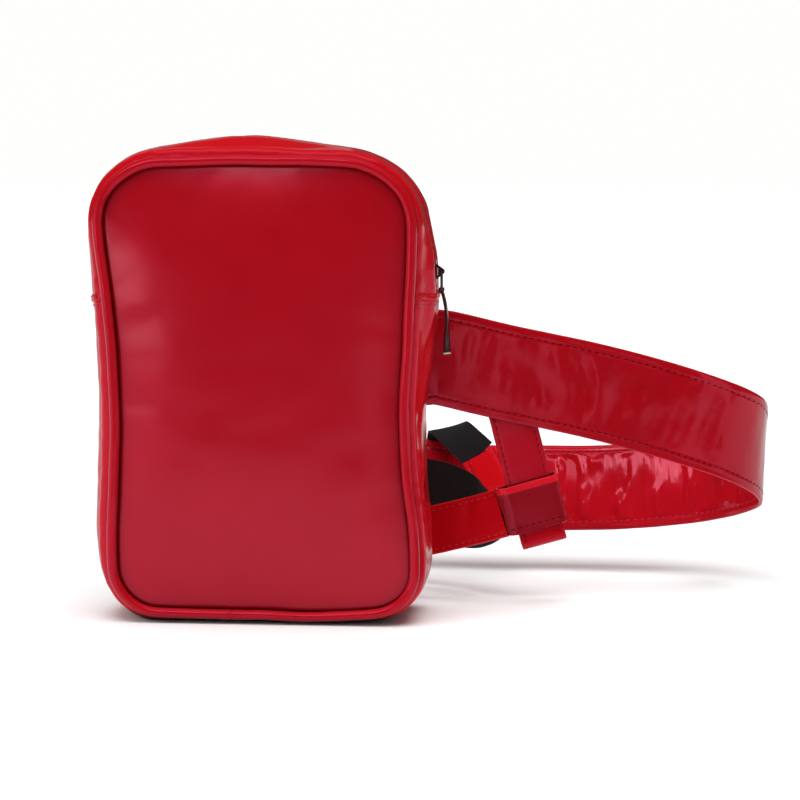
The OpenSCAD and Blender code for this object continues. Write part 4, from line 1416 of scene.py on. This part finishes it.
def closure(name, node, body, material, outward):
    """Hook-and-loop patch with an uneven pile on the side that faces outward in y."""
    low, high = node_box(node)
    columns, rows = 34, 46
    x, z = np.meshgrid(np.linspace(low[0], high[0], columns),
                       np.linspace(low[2], high[2], rows))
    from_edge = np.minimum.reduce([x - low[0], high[0] - x, z - low[2], high[2] - z])
    back_y, pile_y = (low[1], high[1]) if outward > 0 else (high[1], low[1])
    pile = 0.12 * noise_on(x, z, 1.6, 98, 2)
    y = pile_y - outward * (0.35 * np.exp(-from_edge / 0.6) + 0.12) \
        + outward * pile * smooth01(from_edge / 1.5)
    points = np.vstack([np.stack([x, y, z], -1).reshape(-1, 3),
                        np.stack([x, back_y + 0 * x, z], -1).reshape(-1, 3)])
    grid = grid_faces(rows, columns, False)
    count = columns * rows
    ring = boundary_ring(rows, columns)
    sides = [(a, b, count + b, count + a) for a, b in zip(ring, np.roll(ring, -1))]
    make(name, points, grid + shift_reversed(grid, count) + sides, material, body,
         "hook_and_loop", [node], uv=points[:, [0, 2]] / 1000)


belt_anchor()
closure("closure_loop", "closure_loop_tape", "pouch", LOOP_TAPE, 1)
closure("closure_hook", "closure_hook_tape", "belt", HOOK_TAPE, -1)


# ------------------------------------------------------------------ hanger
def rotation(axis, degrees):
    c, s = math.cos(math.radians(degrees)), math.sin(math.radians(degrees))
    return np.array({"x": [[1, 0, 0], [0, c, -s], [0, s, c]],
                     "y": [[c, 0, s], [0, 1, 0], [-s, 0, c]],
                     "z": [[c, -s, 0], [s, c, 0], [0, 0, 1]]}[axis])


# hanger space: origin at the hinge, x across the strap, -y front, z up
HINGE = joint_at("hanger_swing")
ROOT_TURN = rotation("z", 8.5) @ rotation("y", -15)     # on the belt
FREE_TURN = ROOT_TURN @ rotation("x", 6)                # hanging free
FOLD_Z = -70.0
HANGER_HALF_WIDTH = 12.5
HANGER_HALF_THICKNESS = 0.75
HANGER_STITCH_INSET = 2.6
HANGER_SEED = 105


def hang(points):
    return points @ FREE_TURN.T + HINGE


def hang_soft(points):
    """Along the belt above the hinge, leaning with the free strap below it."""
    w = smooth01((5.0 - points[..., 2:3]) / 10)
    return (points @ ROOT_TURN.T) * (1 - w) + (points @ FREE_TURN.T) * w + HINGE


def hang_blend(obj):
    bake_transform(obj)


def hanger_line():
    """Centre line (y, z): down from the belt's inner face, round the fold and back up."""
    down = [(-0.1, 23.0), (-0.1, 12.0), (-0.12, 4.0), (-0.5, -2.0), (-0.95, -9.0),
            (-0.95, -30), (-0.95, FOLD_Z + 6), (-1.5, FOLD_Z + 3.2), (-2.7, FOLD_Z + 0.6)]
    bend = [(3.25 * math.cos(a), FOLD_Z - 0.2 + 3.25 * math.sin(a))
            for a in np.radians(np.arange(200, 341, 14))]
    back = [(2.7, FOLD_Z + 0.6), (1.7, FOLD_Z + 3.2), (1.05, FOLD_Z + 6),
            (1.0, FOLD_Z + 18), (1.0, FOLD_Z + 29)]
    return np.array(down + bend + back)


def hanger_wave(s, w):
    return 0.18 * noise_on(s, w * 0.6, 19, HANGER_SEED, 2)


def hanger_band():
    line = hanger_line()
    s = arc_length(line)
    length = s[-1]
    even_s = np.linspace(0, length, max(6, int(length / 1.2)))
    centre = resample(even_s, s, line)
    along = unit(np.gradient(centre, axis=0))
    normal = np.stack([along[:, 1], -along[:, 0]], 1)      # the front on the way down
    inset = HANGER_STITCH_INSET
    rim = [(0, 0.0), (0.12, 0.6), (0.5, 0.95), (1.3, 1.0), (inset - 0.45, 1.0), (inset, 0.86),
           (inset + 0.45, 1.0), (inset + 2.0, 1.05), (inset + 5, 1.1)]
    section = strap_section(rim, 1.12, HANGER_HALF_THICKNESS)
    offsets = [column_offset(column, HANGER_HALF_WIDTH) for column in section]
    sway = 0.15 * noise_on(even_s, 0, 33, HANGER_SEED + 1, 1)
    rows = []
    for offset, column in zip(offsets, section):
        c = centre + normal * (column[3] + hanger_wave(even_s, offset))[:, None]
        rows.append(np.stack([offset + sway, c[:, 0], c[:, 1]], 1))
    hang_blend(loft("hanger_band", hang_soft(np.stack(rows, 1)), HANGER_RED_PAINTED_LIT, None,
                    "patent_red", ["hanger_root", "hanger_strap"],
                    uv=map_uv(even_s[:, None], np.array(offsets)), sharp=55))
    at = np.arange(2.5, length - 1.5, 3.9)
    seam, seam_along, seam_normal = (resample(at, even_s, values)
                                     for values in (centre, along, normal))
    for k, edge in enumerate((1, -1)):
        x = np.full(len(at), edge * (HANGER_HALF_WIDTH - inset))
        for m, face in enumerate((1, -1)):
            out = seam_normal * face
            c = seam + out * (HANGER_HALF_THICKNESS * 0.9
                              + hanger_wave(at, x) * face)[:, None]
            points = hang_soft(np.column_stack([x, c]))
            hang_blend(stitches(f"hanger_band_stitch{k}{m}", points,
                                unit(np.column_stack([0 * at, seam_along]) @ FREE_TURN.T),
                                unit(np.column_stack([0 * at, out]) @ FREE_TURN.T), THREAD,
                                None, length=2.5, radius=0.25, seed=HANGER_SEED + k))


hanger_band()

# ------------------------------------------------------------------ sleeve
SLEEVE_LOW, SLEEVE_HIGH = -50.0 - 13.0, -50.0 + 13.0
SLEEVE_X = -1.25
SLEEVE_HALF_X, SLEEVE_HALF_Y = 17.25, 3.5
SLEEVE_POWER_X, SLEEVE_POWER_Y = 0.22, 0.55      # roundness of its section
SLEEVE_SEGMENTS = 96


def sleeve_halves(z):
    """Half width and half depth at height z: it narrows and thickens at mid height."""
    middle = math.sin(math.pi * (z - SLEEVE_LOW) / (SLEEVE_HIGH - SLEEVE_LOW))
    return SLEEVE_HALF_X - 0.25 * middle, SLEEVE_HALF_Y + 0.35 * middle


def sleeve_wave(x, y, z):
    return 0.22 * noise(np.stack([x, y, np.full(len(x), z)], 1), 16, 111, 2)


def sleeve_step(x):
    """The wrapped end of the band makes a step at the left of the front."""
    return 0.5 * hill(x, SLEEVE_X - SLEEVE_HALF_X + 5.0, 2.2)


def sleeve_ring(z, grow, rise=0.0):
    angle = circle_angles(SLEEVE_SEGMENTS)
    round_x = signed_power(np.cos(angle), SLEEVE_POWER_X)
    round_y = signed_power(np.sin(angle), SLEEVE_POWER_Y)
    half_x, half_y = sleeve_halves(z)
    x = SLEEVE_X + (half_x + grow) * round_x
    y = (half_y + grow * 0.9) * round_y
    y = y + sleeve_wave(x, y, z) * (np.abs(round_y) > 0.5)
    y = y - sleeve_step(x) * (round_y < 0)
    f = (z - SLEEVE_LOW) / (SLEEVE_HIGH - SLEEVE_LOW)
    wave = 0.35 * np.sin(angle * 2 + 1.0) * (0.5 + 0.5 * abs(2 * f - 1))
    return np.stack([x, y, z + rise + wave], 1)


def sleeve():
    levels = np.linspace(SLEEVE_LOW, SLEEVE_HIGH, 19)
    rings = [sleeve_ring(z, 0.0 if z < SLEEVE_HIGH - 2.9 else 0.38) for z in levels]
    rings += [sleeve_ring(SLEEVE_HIGH, grow, rise)
              for grow, rise in ((0.3, 0.5), (-0.2, 0.9), (-0.95, 0.6))]
    rings += [sleeve_ring(z, -1.25) for z in levels[::-1]]
    rings += [sleeve_ring(SLEEVE_LOW, grow, rise)
              for grow, rise in ((-0.95, -0.6), (-0.35, -0.85), (0.12, -0.45))]
    # the upper lip is painted a brighter red, the tab's lit copy, as a highlight on the fold
    top = len(levels)
    lip = [1 if top - 3 <= j <= top + 1 else 0
           for j in range(len(rings)) for _ in range(SLEEVE_SEGMENTS)]
    loft("keeper_sleeve", hang(np.stack(rings, 0)), [SLEEVE_RED_PAINTED_SHADE, TAB_RED_PAINTED_LIT], "leg_loop",
         "patent_red", ["band_sleeve"], closed=True, sharp=60, face_materials=lip)


def sleeve_stitching():
    """Rows along both lips, front and back, and one beside the left end of the front."""
    x = np.arange(SLEEVE_X - SLEEVE_HALF_X + 3.5, SLEEVE_X + SLEEVE_HALF_X - 2, 3.8)
    for k, z in enumerate((SLEEVE_LOW + 2.6, SLEEVE_HIGH - 2.6)):
        half_x, half_y = sleeve_halves(z)
        cosine = np.abs(np.clip((x - SLEEVE_X) / half_x, -1, 1)) ** (1 / SLEEVE_POWER_X)
        sine = np.sqrt(np.maximum(0, 1 - cosine ** 2))
        for m, side in enumerate((-1, 1)):
            y = side * half_y * sine ** SLEEVE_POWER_Y
            y = y + sleeve_wave(x, y, z) - sleeve_step(x) * (side < 0) + 0.1 * side
            stitches(f"sleeve_stitch{k}{m}", hang(np.stack([x, y, np.full(len(x), z)], 1)),
                     FREE_TURN @ np.array([1.0, 0, 0]), FREE_TURN @ np.array([0, 1.0 * side, 0]),
                     THREAD, "leg_loop", length=2.7, radius=0.27, seed=112 + k)
    z = np.arange(SLEEVE_LOW + 3.5, SLEEVE_HIGH - 2.5, 3.8)
    seam = np.stack([np.full(len(z), SLEEVE_X - SLEEVE_HALF_X + 3.0),
                     np.full(len(z), -SLEEVE_HALF_Y + 0.05), z], 1)
    stitches("sleeve_seam_stitch", hang(seam), FREE_TURN @ np.array([0, 0, 1.0]),
             FREE_TURN @ np.array([0, -1.0, 0]), THREAD, "leg_loop", length=2.7, radius=0.27,
             seed=116)


sleeve()
sleeve_stitching()

# ------------------------------------------------------------------ leg loop
LEG_WIDTH = 27.0
LEG_STITCH_INSET = 2.7
# stations: x, y, z, lean x, lean y, width
LEG_BAND = Path([
    (125.8, 50.9, 48.2, -0.22, 0.05, LEG_WIDTH), (113, 55, 44, -0.20, 0.05, LEG_WIDTH),
    (98, 59, 39.6, -0.16, 0.05, LEG_WIDTH), (80, 63, 35, -0.10, 0.05, LEG_WIDTH),
    (58, 67, 32.3, -0.05, 0.05, LEG_WIDTH), (38, 72, 32.8, 0, 0.05, LEG_WIDTH),
    (23, 81, 35.3, 0, 0, LEG_WIDTH)], 1.3)
LEG_ELASTIC = Path([
    (21.6, 83.6, 35.8, 0, 0, 29), (23, 94, 38.8, 0, 0.05, 35), (38, 102, 43.3, 0, 0.05, 44),
    (58, 103.5, 46.3, 0, 0.08, 48), (80, 99, 47, 0.02, 0.12, 49),
    (98, 90, 44.8, 0.12, 0.14, 45), (110, 78, 42.3, 0.10, 0.14, 37),
    (117, 66, 43.3, 0, 0.1, 31), (121.5, 57.2, 45.6, -0.1, 0.05, LEG_WIDTH)], 1.3)
UPPER_ELASTIC = Path([
    (108.6, 135.6, 69.7, 1.6, 0.1, 21), (100.5, 143, 75.8, 1.6, 0.25, 21),
    (93, 153, 80.8, 2.2, 0.2, 21), (88, 164, 81.8, 4, 0, 21), (86, 173, 76.8, 6, 0, 21),
    (85, 173.5, 65.8, 6, 0, 21), (85, 168.6, 52.8, 6, 0, 21)], 1.2)
TAB_WIDTH = 22
TAB_STITCH_INSET = 2.4
END_TAB = Path([
    (108.9, 134.8, 69.4, 1.9, 0.2, TAB_WIDTH), (115, 129.1, 59.2, 1.9, 0.2, TAB_WIDTH),
    (119.6, 124.8, 51.4, 1.9, 0.2, TAB_WIDTH)], 1.0)


def leg_relief(s, w, n=0):
    return 0.35 * noise_on(s, 0.5 * w, 26, 121, 2) \
        + 0.5 * dent(s, w, 20, 3, 4, 9, 0.5) - 0.4 * dent(s, w, 28, -2, 4, 9, 0.5)


def leg_band():
    rim = [(0, 0), (0.12, 0.6), (0.5, 0.95), (1.3, 1.0), (2.2, 1.0), (LEG_STITCH_INSET, 0.86),
           (3.2, 1.0), (5, 1.06), (8, 1.1)]
    band("leg_band_strap", LEG_BAND, strap_section(rim, 1.12, 0.9), leg_relief, LEG_RED_PAINTED_LIT,
         "leg_loop", "patent_red", ["leg_band"])
    s = np.arange(3, LEG_BAND.length - 2, 3.9)
    for k, edge in enumerate((1, -1)):
        w = edge * (LEG_WIDTH / 2 - LEG_STITCH_INSET)
        for m, face in enumerate((1, -1)):
            points, along, normal, _ = LEG_BAND.at(s, w, face * 0.72 + leg_relief(s, w))
            stitches(f"leg_band_stitch{k}{m}", points, unit(along), unit(normal) * face,
                     PAINTED_LIT_THREAD, "leg_loop", length=2.8, radius=0.26, seed=123 + k)


def elastic(name, path, body, node, columns, seed, ruffle):
    """Ribbed elastic: real lengthwise ribs, slightly scalloped edges."""
    shares = np.linspace(1, -1, columns)
    heights = [0.7 * (0.93 + 0.07 * math.cos(k * math.pi)) for k in range(columns)]
    section = [(0, 0, share, height) for share, height in zip(shares, heights)] \
        + [(0, 0, share, -height) for share, height in zip(shares[::-1], heights)]

    def relief(s, w, n):
        scallop = smooth01((np.abs(w) - 0.7 * path.half[:, None]) / 4)
        return ruffle * noise_on(s, 0.4 * w, 21, seed, 2) \
            + 0.10 * np.sin(2 * math.pi * s / 2.4) * scallop

    band(name, path, section, relief, ELASTIC, body, "elastic_black", [node], sharp=75)


def tab_relief(s, w, n=0):
    return 0.15 * noise_on(s, w, 14, 141, 2)


def end_tab():
    rim = [(0, 0), (0.12, 0.6), (0.5, 0.95), (1.2, 1.0), (1.9, 1.0), (TAB_STITCH_INSET, 0.7),
           (2.9, 1.0), (5, 1.1)]
    band("upper_end_tab", END_TAB, strap_section(rim, 1.2, 0.95), tab_relief, TAB_RED_PAINTED_LIT, "belt",
         "patent_red", ["elastic_end_tab"])
    rows = []
    s = np.arange(TAB_STITCH_INSET, END_TAB.length - 1.5, 3.1)
    w = np.arange(-6.6, 7, 3.3)
    for face in (1, -1):
        for edge in (1, -1):
            row_w = edge * (TAB_WIDTH / 2 - TAB_STITCH_INSET)
            points, along, normal, _ = END_TAB.at(s, row_w, face * 0.8 + tab_relief(s, row_w))
            rows.append((points, along, normal * face))
        for row_s in (TAB_STITCH_INSET, END_TAB.length - TAB_STITCH_INSET):
            points, _, normal, across = END_TAB.at(row_s, w, face * 0.95 + tab_relief(row_s, w))
            rows.append((points, across, normal * face))
    points, along, normal = (np.vstack(part) for part in zip(*rows))
    stitches("upper_end_tab_stitch", points, unit(along), unit(normal), PAINTED_LIT_THREAD, "belt",
             length=2.2, radius=0.24, seed=143)


leg_band()
elastic("leg_elastic_band", LEG_ELASTIC, "leg_loop", "leg_elastic", columns=41, seed=131,
        ruffle=0.25)
elastic("upper_elastic_band", UPPER_ELASTIC, "belt", "elastic_hanger", columns=21, seed=135,
        ruffle=0.12)
end_tab()


# ------------------------------------------------------------------ stage
def floor_material():
    """White floor that the gloss sees as dark in front, with a dark flag on the right."""
    material, tree, shader = new_material("stage_floor")
    x, y = separate(tree, coordinates(tree))[:2]
    brightness = map_range(tree, y, (-1.0, -0.28), (0.01, 0.60), smooth=True)
    # the flag right of the pouch keeps the belt and the hanger deep red
    slant = map_range(tree, y, (-0.44, -0.30), (0.15, 0.0), smooth=True)
    left = map_range(tree, calculate(tree, "SUBTRACT", x, slant), (0.12, 0.22), smooth=True)
    right = map_range(tree, x, (0.42, 0.60), (1.0, 0.0), smooth=True)
    rear = map_range(tree, y, (-0.02, 0.06), (0.9, 0.0), smooth=True)
    flag = calculate(tree, "MULTIPLY", calculate(tree, "MULTIPLY", left, right), rear)
    reflected = calculate(tree, "MULTIPLY", brightness,
                          calculate(tree, "SUBTRACT", 1.0, flag))
    glossy = add_node(tree, "ShaderNodeLightPath").outputs["Is Glossy Ray"]
    grey = mix_float(tree, glossy, 0.92, reflected)
    colour = add_node(tree, "ShaderNodeCombineColor", {0: grey, 1: grey, 2: grey}).outputs[0]
    feed(tree, shader, {"Base Color": colour, "Roughness": 0.7, "Specular IOR Level": 0.2})
    return material


def stage_floor(half=12.0):
    material = floor_material()
    mesh = bpy.data.meshes.new("stage_floor")
    mesh.from_pydata([(-half, -half, 0), (half, -half, 0), (half, half, 0), (-half, half, 0)],
                     [], [(0, 1, 2, 3)])
    mesh.materials.append(material)
    obj = bpy.data.objects.new("stage_floor", mesh)
    obj.location.z = -0.0002
    bpy.context.scene.collection.objects.link(obj)


def studio_world():
    world = bpy.data.worlds.new("studio")
    bpy.context.scene.world = world
    world.use_nodes = True
    tree = world.node_tree
    y = separate(tree, coordinates(tree, "Generated"))[1]
    path = add_node(tree, "ShaderNodeLightPath").outputs
    # the gloss sees it dark towards the camera and brighter behind
    reflected = map_range(tree, y, (-0.95, 0.2), (0.008, 0.06))
    direct = mix_float(tree, path["Is Camera Ray"], 0.26, 1.0)
    feed(tree, tree.nodes["Background"], {
        "Color": (1, 0.995, 0.99, 1),
        "Strength": mix_float(tree, path["Is Glossy Ray"], direct, reflected)})


def add_aimed(name, data, direction):
    """Link an object whose -Z axis looks along direction."""
    obj = bpy.data.objects.new(name, data)
    obj.rotation_mode = "QUATERNION"
    obj.rotation_quaternion = Vector(direction).to_track_quat("-Z", "Y")
    bpy.context.scene.collection.objects.link(obj)
    return obj


def sun(name, towards, strength, angle):
    """Soft sun that the gloss doesn't see; towards points at the sun, angle in degrees."""
    light = bpy.data.lights.new(name, "SUN")
    light.energy = strength
    light.angle = math.radians(angle)
    add_aimed(name, light, -Vector(towards)).visible_glossy = False


def card(name, place, target, width, height, radiance):
    """Soft white card that only the gloss sees."""
    light = bpy.data.lights.new(name, "AREA")
    light.shape = "RECTANGLE"
    light.size, light.size_y = width, height
    light.energy = radiance * math.pi * width * height
    light.spread = math.pi
    obj = add_aimed(name, light, Vector(target) - Vector(place))
    obj.location = place
    obj.visible_diffuse = False


# name, place, target, width, height, radiance
CARDS = [
    ("card_left", (-1.45, -0.85, 0.30), (0.0, 0, 0.16), 0.40, 0.8, 1.7),
    ("card_window", (-0.92, -1.20, 0.12), (-0.065, -0.03, 0.19), 0.32, 0.20, 3.4),
    ("card_right", (1.75, -0.75, 0.35), (0.1, 0, 0.10), 0.30, 0.9, 0.8),
    ("card_high", (-0.46, -1.02, 1.08), (0.18, 0.14, 0.05), 0.90, 0.50, 2.8),
    ("card_strip", (0.35, -1.10, 1.12), (0.12, 0.04, 0.17), 1.2, 0.18, 1.7),
    ("card_front_right", (0.82, -1.22, 0.21), (0.15, 0.04, 0.14), 0.34, 0.12, 0.75),
    ("card_low", (0.315, -0.85, 0.045), (0.13, 0.04, 0.13), 0.10, 0.085, 0.8),
    ("card_top", (0.05, -0.35, 1.7), (0.05, 0.05, 0.1), 1.2, 0.5, 0.9),
    ("card_back", (-0.6, 1.6, 0.9), (0.0, 0.05, 0.1), 1.2, 0.7, 0.25)]


def camera(azimuth, elevation, distance, target, view_angle):
    """Camera on a sphere round the target; angles in degrees, azimuth from the front."""
    data = bpy.data.cameras.new("cam")
    azimuth, elevation = math.radians(azimuth), math.radians(elevation)
    back = Vector((math.sin(azimuth) * math.cos(elevation),
                   -math.cos(azimuth) * math.cos(elevation), math.sin(elevation)))
    obj = add_aimed("cam", data, -back)
    obj.location = Vector(target) + back * distance
    data.sensor_width = 36
    data.lens = data.sensor_width / 2 / math.tan(math.radians(view_angle / 2))
    data.clip_start, data.clip_end = 0.01, 60
    bpy.context.scene.camera = obj


stage_floor()
studio_world()
sun("overhead", towards=(0.05, -0.12, 1.0), strength=3.3, angle=55)
sun("front_left", towards=(-0.62, -0.75, 0.62), strength=0.95, angle=45)
for entry in CARDS:
    card(*entry)
camera(azimuth=5, elevation=6, distance=1.3, target=(0.074, 0, 0.1158), view_angle=18.52)
bpy.context.scene.view_settings.view_transform = "Standard"
bpy.context.scene.view_settings.look = "None"
